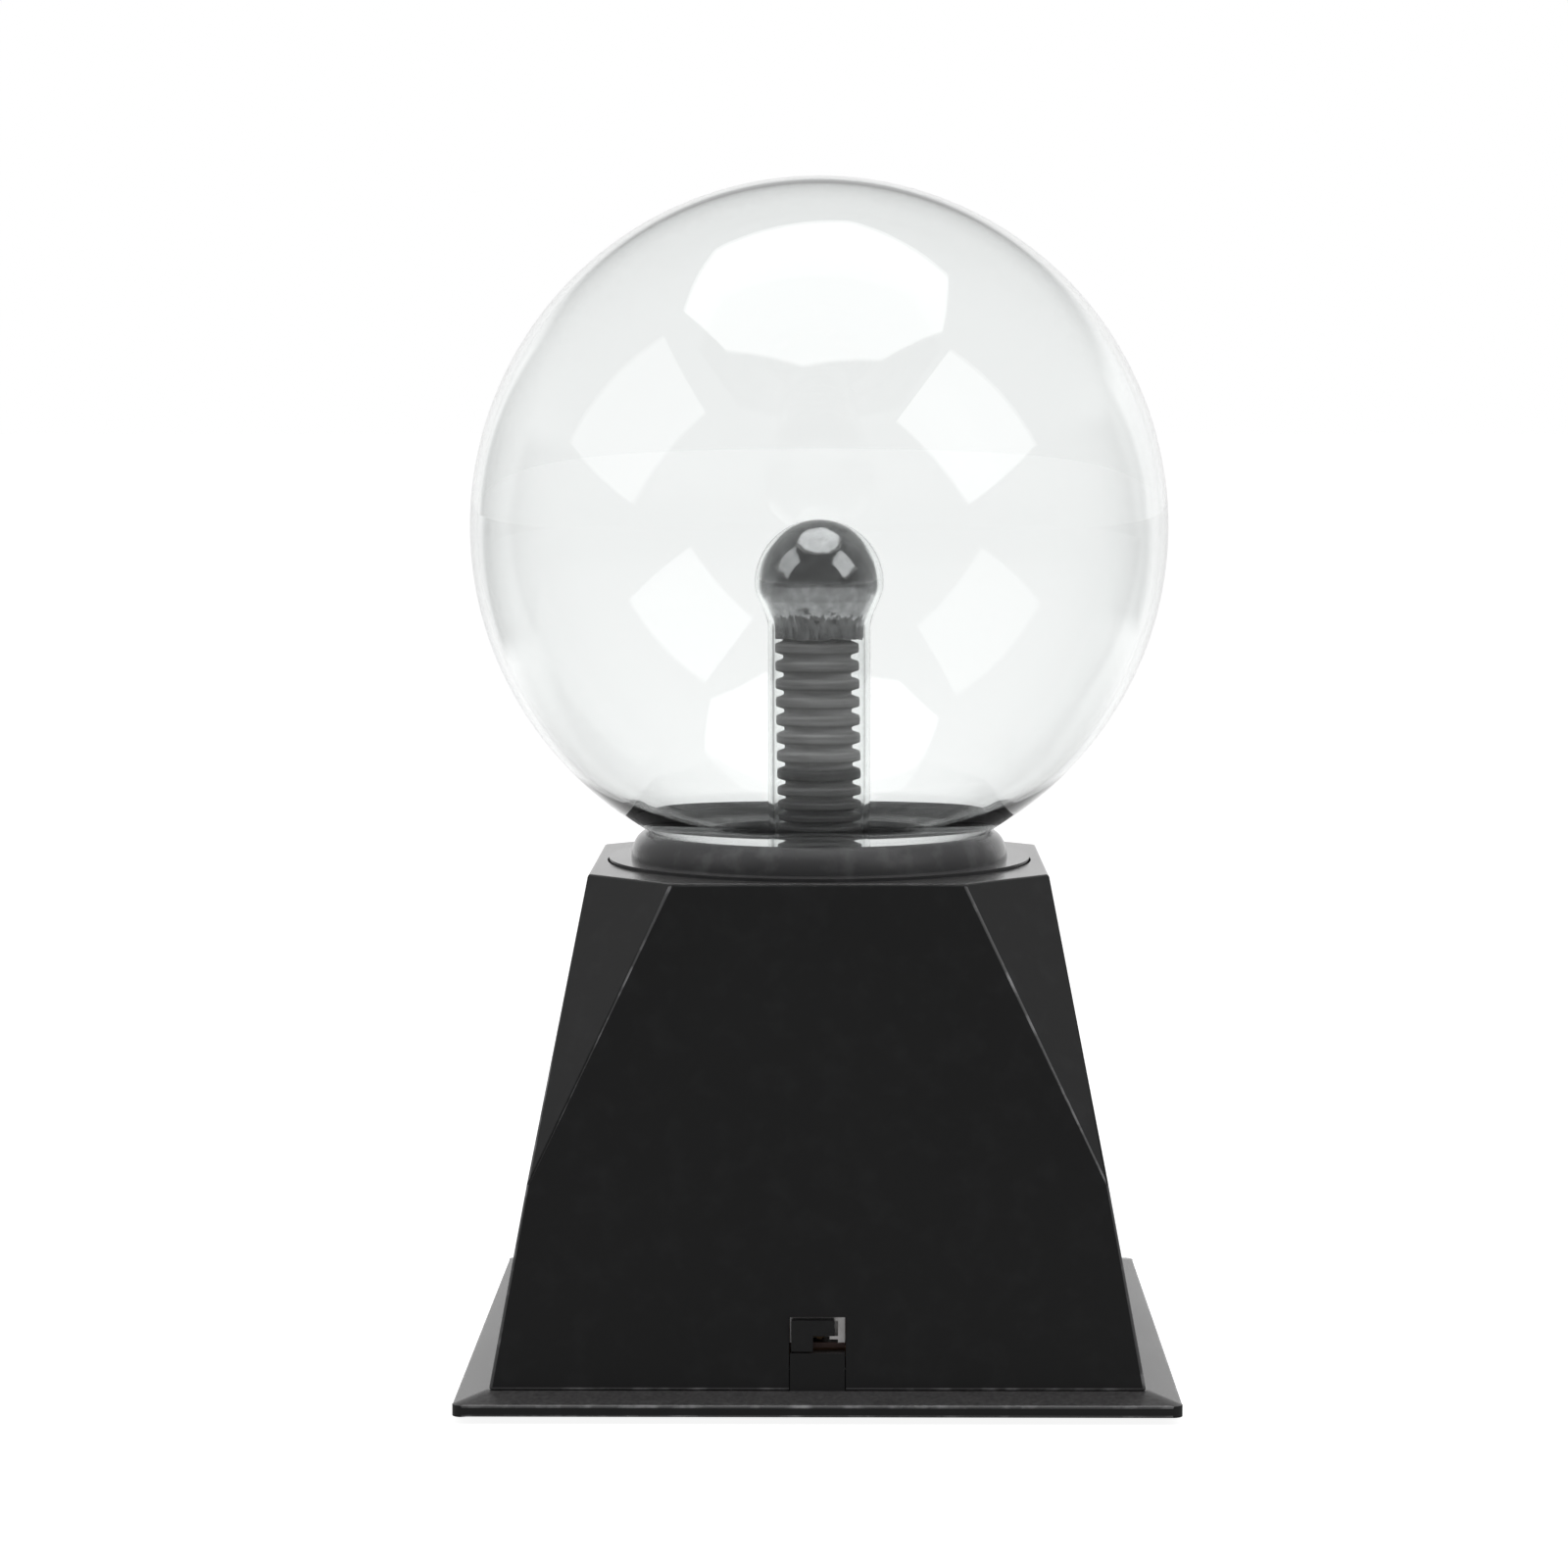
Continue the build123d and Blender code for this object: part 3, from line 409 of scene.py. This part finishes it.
def turned(name, profile, steps, centre=(0, 0), sharp=30):
    """A surface of revolution about an upright axis: every profile point (radius, height) is carried
    round in even steps, and points that fall together, as on the axis, are made one."""
    outline = np.asarray(profile, float)
    angle = np.arange(steps) * 2 * pi / steps
    x = centre[0] + outline[:, :1] * np.cos(angle)
    y = centre[1] + outline[:, :1] * np.sin(angle)
    z = np.repeat(outline[:, 1:], steps, axis=1)
    return surface(name, np.stack([x, y, z], axis=-1), ring_faces(len(outline), steps), sharp)


def joined(name, pieces):
    """Several new objects made into one."""
    with bpy.context.temp_override(active_object=pieces[0], selected_editable_objects=pieces):
        bpy.ops.object.join()
    pieces[0].name = name
    return pieces[0]


soft_rubber = moulded("soft_rubber", (0.016, 0.016, 0.016), (0.05, 0.048, 0.045), 0.78, 0.15, 0.0006, 0.00003)
feet_low, feet_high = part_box("rubber_feet")
foot_radius = 0.005
foot_round = 0.0004
foot_profile = (
    [(0, feet_low.z)]
    + arc((foot_radius - foot_round, feet_low.z + foot_round), foot_round, -90, 0, 6)
    + [(foot_radius, feet_high.z), (0, feet_high.z)]
)
foot_x = feet_high.x - foot_radius
pads = [
    turned("foot", foot_profile, 48, (sx * foot_x, sy * foot_x))
    for sx in (-1, 1)
    for sy in (-1, 1)
]
feet = painted(joined("feet", pads), soft_rubber)
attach(feet, "ball")
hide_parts("rubber_feet")

# ---- Seat and collar ----------------------------------------------------------------------------
# A moulded disc drops into the case's roof and carries the half-round bead that the globe sits in.
# Both are satin black. The disc stands a little proud of the roof, with a fine gap round it.

satin_black = moulded(
    "satin_black", (0.045, 0.045, 0.047), (0.075, 0.075, 0.078), 0.42, 0.14, 0.0009, 0.000006,
    slant_gloss=0.35, dust_and_shade=0.25,
)
painted(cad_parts["globe_seat"], satin_black)

seat_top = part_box("globe_seat")[1].z
bead_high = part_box("collar_ring")[1]
globe_low, globe_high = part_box("globe_glass")
globe_radius = globe_high.x
globe_z = globe_high.z - globe_radius
glass_gap = 0.00015
bead_half_width = 0.003
bead_rise = bead_high.z - seat_top + 0.00001
bead_arc = np.array(arc((0, 0), 1.0, 0, 180, 49))
bead_r = bead_high.x - bead_half_width + bead_half_width * bead_arc[:, 0]
under_globe = globe_z - np.sqrt((globe_radius + glass_gap) ** 2 - bead_r**2)
bead_z = np.minimum(seat_top + bead_rise * bead_arc[:, 1], under_globe)
bead_outline = list(zip(bead_r, bead_z))
# The bead's satin black is painted lighter than the seat's: painted light on its front.
bead_satin = moulded(
    "bead_satin", (0.070, 0.070, 0.072), (0.15, 0.15, 0.154), 0.42, 0.20, 0.0011, 0.000010, slant_gloss=0.35
)
bead = painted(turned("bead", bead_outline + bead_outline[:1], 160, sharp=50), bead_satin)
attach(bead, "ball")
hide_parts("collar_ring")

# ---- Neck gasket and clamp ----------------------------------------------------------------------
# A ring of closed-cell foam grips the globe's neck in the seat's spigot. Under the roof a moulded ring
# is pulled up to the seat by zinc-plated screws.


def toned(tree, value, stops):
    """A colour that goes through stops of (place, colour) as a value goes from 0 to 1."""
    made = node(tree, "ValToRGB", {"Fac": value})
    elements = made.color_ramp.elements
    elements.remove(elements[1])
    for number, (place, colour) in enumerate(stops):
        stop = elements.new(place) if number else elements[0]
        stop.position = place
        stop.color = (*colour, 1)
    return made.outputs["Color"]


def patterned(name, pattern, low_colour, high_colour, depth, roughness=None, **values):
    """A material led by one pattern of 0 to 1, worked out from its tree and a place: the colour and
    the roughness go from low to high with it, and it stands up by a depth."""
    made, shader = plain(name, **values)
    tree = made.node_tree
    value = pattern(tree, object_place(tree))
    tree.links.new(toned(tree, value, [(0, low_colour), (1, high_colour)]), shader["Base Color"])
    tree.links.new(relief(tree, value, depth), shader["Normal"])
    if roughness:
        tree.links.new(ramp(tree, value, (0, 1), roughness), shader["Roughness"])
    return made


def foam_cells(tree, place):
    """Distance from the middle of each cell, about half a millimetre across."""
    return node(tree, "TexVoronoi", {"Scale": 2200.0, "Vector": place}).outputs["Distance"]


foam = patterned("foam", foam_cells, (0.008, 0.008, 0.008), (0.050, 0.050, 0.052), 0.0001, Roughness=0.9)
painted(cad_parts["neck_gasket"], foam)
painted(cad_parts["clamp_ring"], black_shell)
painted(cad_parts["clamp_screws"], zinc)

# ---- Globe --------------------------------------------------------------------------------------
# Clear soda glass, blown to a sphere with a short neck that goes down through the seat. The wall is
# a little over a millimetre thick, and thicker in a ring round the foot of the ball.

clear_glass = plain(
    "clear_glass",
    Base_Color=(0.985, 0.992, 0.989, 1),
    Roughness=0.0,
    IOR=1.5,
    Transmission_Weight=1.0,
)[0]
tree = clear_glass.node_tree
tint = node(tree, "VolumeAbsorption", {"Color": (0.60, 0.92, 0.88, 1), "Density": 9.0})
tree.links.new(tint.outputs[0], tree.nodes["Material Output"].inputs["Volume"])

globe_wall = 0.0012
neck_radius = 0.017
neck_blend = 0.0025
neck_bore = neck_radius - globe_wall

# The ball's outer side ends where it touches the fillet, whose centre is a blend beyond both the
# ball and the neck.
fillet_r = neck_radius + neck_blend
fillet_z = globe_z - ((globe_radius + neck_blend) ** 2 - fillet_r**2) ** 0.5
ball_end = np.degrees(np.arctan2(fillet_z - globe_z, fillet_r))
fillet_start = np.degrees(np.arctan2(globe_z - fillet_z, -fillet_r))
outside = (
    arc((0, globe_z), globe_radius, 90, ball_end, 170)
    + arc((fillet_r, fillet_z), neck_blend, fillet_start, 180, 9)[1:]
    + [(neck_radius, globe_low.z)]
)

# Degrees up from the ball's foot: the wall thickens from ring_top down to its crest, then thins
# again to ring_foot and stays so to the gather, where the neck begins.
ring_top, ring_crest, ring_foot, gather = 46.0, 31.8, 22.0, 18.2
crest_extra = 0.00045
thinning = 0.085
side = np.array(outside)
from_foot = np.degrees(np.arctan2(side[:, 0], globe_z - side[:, 1]))
side = side[from_foot > gather]
from_foot = from_foot[from_foot > gather]
towards_crest = np.clip((ring_top - from_foot) / (ring_top - ring_crest), 0, 1)
past_crest = np.radians(np.clip(ring_crest - from_foot, 0, ring_crest - ring_foot)) * globe_radius
wall = globe_wall + crest_extra * towards_crest**2 - thinning * past_crest
middle = np.array([0, globe_z])
inner_side = middle + (side - middle) * ((globe_radius - wall) / globe_radius)[:, None]

# The bore's shoulder is a curve that leaves the ball's inner side and runs down into the neck.
shoulder_drop = 0.0025
shoulder_bend = 0.0012
share = np.linspace(0, 1, 14)[1:, None]
shoulder_start = inner_side[-1]
bend = np.array([neck_bore, shoulder_start[1] - shoulder_bend])
shoulder_end = np.array([neck_bore, shoulder_start[1] - shoulder_drop])
shoulder = (1 - share) ** 2 * shoulder_start + 2 * share * (1 - share) * bend + share**2 * shoulder_end
inside = np.concatenate([inner_side, shoulder, [(neck_bore, globe_low.z)]])
globe = turned("globe", np.concatenate([outside, inside[::-1]]), 192, sharp=40)
painted(globe, clear_glass).visible_shadow = False
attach(globe, "ball")
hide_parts("globe_glass")

# ---- Electrode stem -----------------------------------------------------------------------------
# A thinner glass tube, blown to a bulb at its top and flared at its foot, where it is fused to the
# end of the globe's neck. The pumping tube is sealed off as a short tip under the flare.

stem_low, stem_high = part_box("electrode_stem")
stem_wall = 0.001
stem_radius = 0.0085
bulb_radius = 0.0107
bulb_z = stem_high.z - bulb_radius
bulb_shoulder = 0.0072
crown_thinning = 0.55
flare_height = 0.008
flare_z = globe_low.z + flare_height
fused_lap = 0.00002
tip_radius = 0.002


def ease(share):
    """Goes from 0 to 1 with no slope at either end."""
    return share * share * (3 - 2 * share)


def stem_side(inset, foot):
    """The stem's side, an inset inside its outer face, from its crown down to a height. The glass is
    blown thinner at the crown."""
    bulb = bulb_radius - inset
    crown = arc((0, bulb_z), bulb, 90, 0, 24)
    points = [(r, z + crown_thinning * inset * (z - bulb_z) / bulb) for r, z in crown]
    share = np.linspace(0, 1, 18)[1:]
    radius = bulb + (stem_radius - bulb_radius) * ease(share)
    points += list(zip(radius, bulb_z - bulb_shoulder * share))
    return points + [(stem_radius - inset, foot)]


flare_width = neck_bore - stem_radius
flare_radius = (flare_width**2 + flare_height**2) / 2 / flare_width
flare_turn = np.degrees(np.arcsin(flare_height / flare_radius))
flare_centre = (stem_radius + flare_radius, flare_z)
flare_outside = arc(flare_centre, flare_radius, 180, 180 + flare_turn, 14)
flare_inside = arc(flare_centre, flare_radius + stem_wall, 180, 180 + flare_turn * 0.97, 14)
stem_outline = (
    stem_side(0, flare_z)
    + flare_outside[1:]
    + [(neck_radius, globe_low.z - fused_lap), (neck_radius, globe_low.z - stem_wall)]
    + flare_inside[:0:-1]
    + stem_side(stem_wall, flare_z)[::-1]
)
stem_tube = turned("stem", stem_outline, 128, sharp=40)
tip_y = (neck_bore + stem_radius - stem_wall) / 2
tip_outline = (
    [(0, globe_low.z - stem_wall), (tip_radius, globe_low.z - stem_wall)]
    + arc((0, stem_low.z + tip_radius), tip_radius, 0, -90, 10)
)
tip = turned("tip", tip_outline, 32, (0, tip_y))
stem = painted(joined("stem_glass", [stem_tube, tip]), clear_glass)
stem.visible_shadow = False
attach(stem, "ball")
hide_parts("electrode_stem")

# ---- Electrode coating --------------------------------------------------------------------------
# A dark conductive coating on the inside of the bulb. Below the bulb its colour turns light grey
# # in bands, and it ends in a dark crinkled skirt with a torn edge over the sleeve's top.

coat_low, coat_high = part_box("electrode_coating")
coat_inset = stem_wall + 0.00003
coat_thickness = 0.00025
coat_rows = 90
coat_steps = 240
skirt_height = 0.0034
tear_height = 0.0005
fold_depth = 0.00026


def coat_surface(inset):
    """Radius and height over a grid of height and angle. The height follows the bulb's side down to
    a torn edge, whose height is a sum of waves round the stem. Folds grow towards that edge."""
    side = np.array(stem_side(inset, coat_low.z))
    length = np.concatenate([[0], np.cumsum(np.hypot(*np.diff(side, axis=0).T))])
    along = np.linspace(0, length[-1], coat_rows)
    radius = np.interp(along, length, side[:, 0])[:, None]
    height = np.interp(along, length, side[:, 1])[:, None]
    angle = np.arange(coat_steps)[None, :] * 2 * pi / coat_steps
    low = np.clip((coat_low.z + skirt_height - height) / skirt_height, 0, 1)
    tear = 0.5 + 0.22 * np.sin(5 * angle + 1) + 0.17 * np.sin(11 * angle + 2) + 0.11 * np.sin(23 * angle)
    height = height + low * tear_height * (np.clip(tear, 0, 1) - 0.4)
    folds = np.sin(19 * angle + 0.7 * np.sin(3 * angle)) + 0.6 * np.sin(31 * angle + 1.3)
    radius = radius - low * fold_depth * (1.6 + folds)
    return np.stack([radius * np.cos(angle), radius * np.sin(angle), height], axis=-1)


coat_sides = [coat_surface(coat_inset), coat_surface(coat_inset + coat_thickness)[::-1]]
coating = surface("coating", np.concatenate(coat_sides), ring_faces(2 * coat_rows, coat_steps), 60)

dark_coat, shader = plain("dark_coat", Metallic=1.0)
tree = dark_coat.node_tree
place = object_place(tree)
height = split(tree, place)["Z"]
patches = noise(tree, place, 0.0022, 5.0)
upright = node(tree, "Mapping", {"Scale": (1.0, 1.0, 0.16), "Vector": place}).outputs[0]
folds = worked_out(tree, "SUBTRACT", noise(tree, upright, 0.0008, 3.0), 0.5)
skirt_sway, band_sway = 0.0040, 0.0007
raggedness = ramp(tree, height, (coat_low.z + 0.0040, coat_low.z + 0.0052), (skirt_sway, band_sway))
swayed = worked_out(tree, "MULTIPLY_ADD", folds, raggedness, height)
level = ramp(tree, swayed, (coat_low.z, coat_high.z), (0, 1))
coat_bands = (
    (0.0, 0.24), (0.200, 0.30), (0.222, 0.92), (0.335, 0.88),
    (0.350, 0.68), (0.500, 0.66), (0.535, 0.32), (1.0, 0.38),
)
bands = toned(tree, level, [(where, (grey, grey, grey * 1.02)) for where, grey in coat_bands])
# Streaks along the folds are painted shade and painted highlight of the creases, strong in the skirt and
# faint on the bulb.
skirt_crease_shade, bulb_crease_shade = 1.6, 0.15
crease_shade_share = ramp(tree, height, (coat_low.z + 0.0030, coat_low.z + 0.0050), (skirt_crease_shade, bulb_crease_shade))
blotchy_and_crease_shade = worked_out(tree, "ADD", worked_out(tree, "MULTIPLY", folds, crease_shade_share), patches)
blotches_and_crease_shade = toned(tree, blotchy_and_crease_shade, [(0.32, (0.62, 0.62, 0.62)), (0.68, (1, 1, 1))])
tree.links.new(mixed(tree, 1.0, bands, blotches_and_crease_shade, blend_type="MULTIPLY"), shader["Base Color"])
tree.links.new(ramp(tree, patches, (0, 1), (0.02, 0.12)), shader["Roughness"])
tree.links.new(relief(tree, patches, 0.00008), shader["Normal"])
painted(coating, dark_coat)
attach(coating, "ball")
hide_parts("electrode_coating")

# ---- Corrugated sleeve --------------------------------------------------------------------------
# Black corrugated tubing round the high-voltage lead. It stands in the stem, a touch out of true,
# and its rounded ribs keep the lead off the glass.

sleeve_low, sleeve_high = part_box("corrugated_sleeve")
sleeve_length = sleeve_high.z - sleeve_low.z
sleeve_crest = sleeve_high.x
sleeve_depth = 0.00135
sleeve_wall = 0.0008
sleeve_lean = 0.0008
rib_pitch = 0.00298
rib_count = round(sleeve_length / rib_pitch)
rib_steepness = 34
rib_half_share = 0.315

# A rib's rise is a steep smooth step up and down again, flat at its crest and in the groove.
rib_share = np.linspace(0, 1, 17)[:-1]
rib_rise = 1 / (1 + np.exp(-rib_steepness * (rib_half_share - np.abs(rib_share - 0.5))))
rib_rise = (rib_rise - rib_rise[0]) / (rib_rise.max() - rib_rise[0])
sleeve_share = (np.arange(rib_count)[:, None] + rib_share[None, :]).ravel() / rib_count
groove = sleeve_crest - sleeve_depth
sleeve_outer = groove + sleeve_depth * np.tile(rib_rise, rib_count)
sleeve_profile = list(zip(sleeve_outer, sleeve_low.z + sleeve_share * sleeve_length))
sleeve_profile += [(groove, sleeve_high.z)]
sleeve_profile += [(groove - sleeve_wall, sleeve_high.z), (groove - sleeve_wall, sleeve_low.z)]
sleeve = turned("sleeve", sleeve_profile + sleeve_profile[:1], 112, sharp=60)
slope = sleeve_lean / sleeve_length
still = slope * (sleeve_high.z + sleeve_low.z) / 2
sleeve.data.transform(Matrix(((1, 0, -slope, still), (0, 1, 0, 0), (0, 0, 1, 0), (0, 0, 0, 1))))

sleeve_black, shader = plain("sleeve_black")
tree = sleeve_black.node_tree
place = object_place(tree)
height = split(tree, place)["Z"]
level_place = node(tree, "Mapping", {"Scale": (0.08, 0.08, 1.0), "Vector": place}).outputs[0]
streaks = noise(tree, level_place, 0.0007, 4.0)
# The streaked grey is far lighter than black tubing: painted light for the reflections laid over it in the
# glass.
streaked = toned(tree, streaks, [(0.35, (0.42, 0.42, 0.42)), (0.72, (0.78, 0.78, 0.785))])
visible_length = 0.034
# Painted shade by height: dark low down and in a ring of painted shadow, with the top painted lighter.
sleeve_painted_shade = ((0, 0.16), (0.18, 0.22), (0.300, 0.50), (0.315, 0.14), (0.368, 0.14), (0.380, 1.0), (1, 0.82))
level = ramp(tree, height, (sleeve_high.z - visible_length, sleeve_high.z), (0, 1))
dust_and_shade = toned(tree, level, [(where, (grey, grey, grey)) for where, grey in sleeve_painted_shade])
dust_and_shade_mix = mixed(tree, 1.0, streaked, dust_and_shade, blend_type="MULTIPLY")
rib_number = ramp(tree, height, (sleeve_low.z, sleeve_high.z), (0, rib_count), clamp=False)
from_groove = worked_out(tree, "PINGPONG", rib_number, 0.5)
# The grooves are painted lighter, painted light that evens out the shade in them.
groove_painted_light = ramp(tree, from_groove, (0.12, 0.26), (0.55, 0.0))
tree.links.new(mixed(tree, groove_painted_light, dust_and_shade_mix, dust_and_shade_mix, blend_type="ADD"), shader["Base Color"])
tree.links.new(ramp(tree, streaks, (0, 1), (0.45, 0.65)), shader["Roughness"])
tree.links.new(relief(tree, streaks, 0.00005), shader["Normal"])
painted(sleeve, sleeve_black)
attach(sleeve, "ball")
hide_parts("corrugated_sleeve")

# ---- Metal wool, lead and grommet ---------------------------------------------------------------
# A plug of fine steel wool carries the current from the lead's bare end to the coating. The lead is
# silicone-insulated and comes up the sleeve through a rubber grommet in the stem's foot.


def strands(tree, place):
    """Tangled bands, like loose fine wire."""
    tangle = {"Scale": 900.0, "Distortion": 14.0, "Detail": 3.0, "Detail Scale": 2.5, "Vector": place}
    return node(tree, "TexWave", tangle).outputs["Fac"]


steel_wool = patterned(
    "steel_wool", strands, (0.05, 0.05, 0.05), (0.50, 0.50, 0.51), 0.0003, (0.65, 0.30), Metallic=1.0
)
silicone = moulded(
    "silicone", (0.52, 0.47, 0.38), (0.60, 0.56, 0.48), 0.42, 0.10, 0.0008, 0.00001, slant_gloss=0.9
)
painted(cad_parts["electrode_wool"], steel_wool)
painted(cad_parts["hv_lead"], silicone)
painted(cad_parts["stem_grommet"], soft_rubber)

# ---- Slide switch -------------------------------------------------------------------------------
# A small board-mounted slide switch behind the window: a folded case of bright tin plate on a brown
# phenolic base, a black knob that slides across it, and a tarnished bronze contact that the knob carries.

tin_plate = moulded(
    "tin_plate", (0.95, 0.93, 0.92), (0.86, 0.84, 0.83), 0.46, 0.15, 0.0012, 0.00001, Metallic=1.0
)
phenolic = moulded("phenolic", (0.075, 0.034, 0.026), (0.11, 0.055, 0.04), 0.45, 0.15, 0.0004, 0.00002)
knob_black = moulded("knob_black", (0.010, 0.010, 0.0105), (0.016, 0.016, 0.017), 0.48, 0.10, 0.0003, 0.00001)
contact_bronze = moulded(
    "contact_bronze", (0.10, 0.065, 0.035), (0.16, 0.10, 0.05), 0.40, 0.15, 0.0010, 0.00001, Metallic=1.0
)
painted(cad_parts["switch_case"], tin_plate)
painted(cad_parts["switch_terminals"], tin_plate)
painted(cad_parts["switch_base"], phenolic)
painted(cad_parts["switch_knob"], knob_black)
painted(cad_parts["switch_contact"], contact_bronze)

# ---- Inlet jack ---------------------------------------------------------------------------------
# The low-voltage inlet at the back: a moulded black socket with a plated centre pin and three tinned
# tags. It is soldered to the board, and its nose stands in a round hole in the case.

jack_black = moulded("jack_black", (0.012, 0.012, 0.0125), (0.022, 0.022, 0.023), 0.36, 0.12, 0.0003, 0.00001)
painted(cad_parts["jack_housing"], jack_black)
painted(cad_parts["jack_pin"], tin_plate)
painted(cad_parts["jack_terminals"], tin_plate)

# ---- Circuit board ------------------------------------------------------------------------------
# Punched paper-phenolic laminate, whose fibres run one way. Four screws hold it to the standoffs on
# the plate.


def fibres(tree, place):
    """Fine streaks along X."""
    drawn = node(tree, "Mapping", {"Scale": (0.06, 1.0, 1.0), "Vector": place}).outputs[0]
    return noise(tree, drawn, 0.0004, 4.0)


laminate = patterned(
    "laminate", fibres, (0.13, 0.050, 0.020), (0.30, 0.14, 0.06), 0.00002, (0.30, 0.50)
)
painted(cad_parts["circuit_board"], laminate)
painted(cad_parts["board_screws"], zinc)

# ---- Transformer --------------------------------------------------------------------------------
# Two ground ferrite halves round a natural nylon bobbin. The winding is fine enamelled copper wire in
# level turns, dipped in varnish.

ferrite = moulded(
    "ferrite", (0.050, 0.050, 0.054), (0.085, 0.085, 0.09), 0.62, 0.15, 0.0002, 0.00003, slant_gloss=0.8
)
nylon = moulded("nylon", (0.66, 0.62, 0.50), (0.74, 0.71, 0.60), 0.40, 0.12, 0.0005, 0.00001)
painted(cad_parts["transformer_core"], ferrite)
painted(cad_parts["transformer_bobbin"], nylon)


def turns(tree, place):
    """Even level turns, a little wavy."""
    wave = {"Scale": 1100.0, "Distortion": 0.4, "Vector": place}
    return node(tree, "TexWave", wave, bands_direction="Z", wave_profile="SIN").outputs["Fac"]


enamelled = patterned(
    "enamelled_wire", turns, (0.16, 0.045, 0.018), (0.60, 0.24, 0.10), 0.0001,
    Metallic=0.8, Coat_Weight=0.6, Coat_Roughness=0.12,
)
tree = enamelled.node_tree
varnish = ramp(tree, noise(tree, object_place(tree), 0.003, 3.0), (0, 1), (0.20, 0.45))
tree.links.new(varnish, tree.nodes["Principled BSDF"].inputs["Roughness"])
painted(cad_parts["transformer_winding"], enamelled)

# ---- Heatsink and transistor --------------------------------------------------------------------
# A finned plate cut from extruded aluminium, with die lines up its faces. The power transistor has a
# moulded epoxy body on a tinned copper tab, and a screw holds the tab to the plate.


def die_lines(tree, place):
    """Fine lines up Z."""
    drawn = node(tree, "Mapping", {"Scale": (1.0, 1.0, 0.02), "Vector": place}).outputs[0]
    return noise(tree, drawn, 0.0003, 3.0)


extruded = patterned(
    "extruded_aluminium", die_lines, (0.50, 0.51, 0.53), (0.72, 0.73, 0.75), 0.00003, (0.25, 0.50),
    Metallic=1.0,
)
painted(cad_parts["heatsink"], extruded)
painted(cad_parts["transistor_screw"], zinc)


def beyond(material, axis, edge, side="GREATER_THAN"):
    """1 where the object's own coordinate is on one side of an edge, else 0."""
    tree = material.node_tree
    return worked_out(tree, side, split(tree, object_place(tree))[axis], edge)


def coloured_over(material, mask, colour):
    """A colour over the material's own where a mask is 1."""
    tree = material.node_tree
    shader = tree.nodes["Principled BSDF"].inputs
    own_colour = shader["Base Color"].links[0].from_socket
    tree.links.new(mixed(tree, mask, own_colour, (*colour, 1)), shader["Base Color"])


def bare_metal(material, mask, colour, roughness):
    """Bare bright metal over the material's own finish where a mask is 1."""
    coloured_over(material, mask, colour)
    tree = material.node_tree
    shader = tree.nodes["Principled BSDF"].inputs
    own_rough = shader["Roughness"].links[0].from_socket
    tree.links.new(mixed(tree, mask, own_rough, roughness, "FLOAT"), shader["Roughness"])
    tree.links.new(mask, shader["Metallic"])
    return material


tab_thickness = 0.0013
tab_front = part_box("power_transistor")[1].y - tab_thickness
epoxy = moulded("epoxy", (0.016, 0.016, 0.017), (0.028, 0.028, 0.030), 0.50, 0.12, 0.0003, 0.00002)
bare_metal(epoxy, beyond(epoxy, "Y", tab_front), (0.70, 0.69, 0.67), 0.25)
painted(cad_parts["power_transistor"], epoxy)

# ---- Capacitors ---------------------------------------------------------------------------------
# Electrolytic cans in shrunk-on sleeves, the large one with a bare aluminium top, and a film capacitor
# potted in a mustard plastic box. Their legs are soldered in the board.

can_sleeve = moulded("can_sleeve", (0.012, 0.018, 0.060), (0.030, 0.040, 0.090), 0.24, 0.10, 0.0010, 0.00001)
main_sleeve = moulded(
    "main_sleeve", (0.010, 0.010, 0.012), (0.022, 0.022, 0.026), 0.22, 0.10, 0.0010, 0.00001
)
mustard = moulded("mustard_box", (0.45, 0.20, 0.02), (0.52, 0.27, 0.05), 0.30, 0.12, 0.0005, 0.00001)
lid_thickness = 0.0002
can_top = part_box("main_capacitor")[1].z - lid_thickness
bare_metal(main_sleeve, beyond(main_sleeve, "Z", can_top), (0.72, 0.73, 0.74), 0.35)
painted(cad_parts["small_capacitors"], can_sleeve)
painted(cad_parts["main_capacitor"], main_sleeve)
painted(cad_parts["film_capacitor"], mustard)

# ---- Resistors ----------------------------------------------------------------------------------
# Small ceramic rods in tan lacquer with four painted rings each. They lie on the board on legs of
# tinned wire.

resistor_low, resistor_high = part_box("resistors")
rod_middle = (resistor_low.x + resistor_high.x) / 2
rod_half = 0.00325
ring_half = 0.0003
rings = (
    (-0.0020, (0.10, 0.03, 0.01)),
    (-0.0009, (0.01, 0.01, 0.01)),
    (0.0002, (0.50, 0.05, 0.01)),
    (0.0020, (0.55, 0.36, 0.08)),
)
lacquer = moulded("lacquer", (0.42, 0.30, 0.17), (0.48, 0.36, 0.22), 0.32, 0.10, 0.0004, 0.00001)
for offset, ring_colour in rings:
    after_start = beyond(lacquer, "X", rod_middle + offset - ring_half)
    before_end = beyond(lacquer, "X", rod_middle + offset + ring_half, "LESS_THAN")
    ring_mask = worked_out(lacquer.node_tree, "MULTIPLY", after_start, before_end)
    coloured_over(lacquer, ring_mask, ring_colour)
left_leg = beyond(lacquer, "X", rod_middle - rod_half, "LESS_THAN")
right_leg = beyond(lacquer, "X", rod_middle + rod_half)
legs = worked_out(lacquer.node_tree, "MAXIMUM", left_leg, right_leg)
painted(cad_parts["resistors"], bare_metal(lacquer, legs, (0.78, 0.77, 0.75), 0.25))
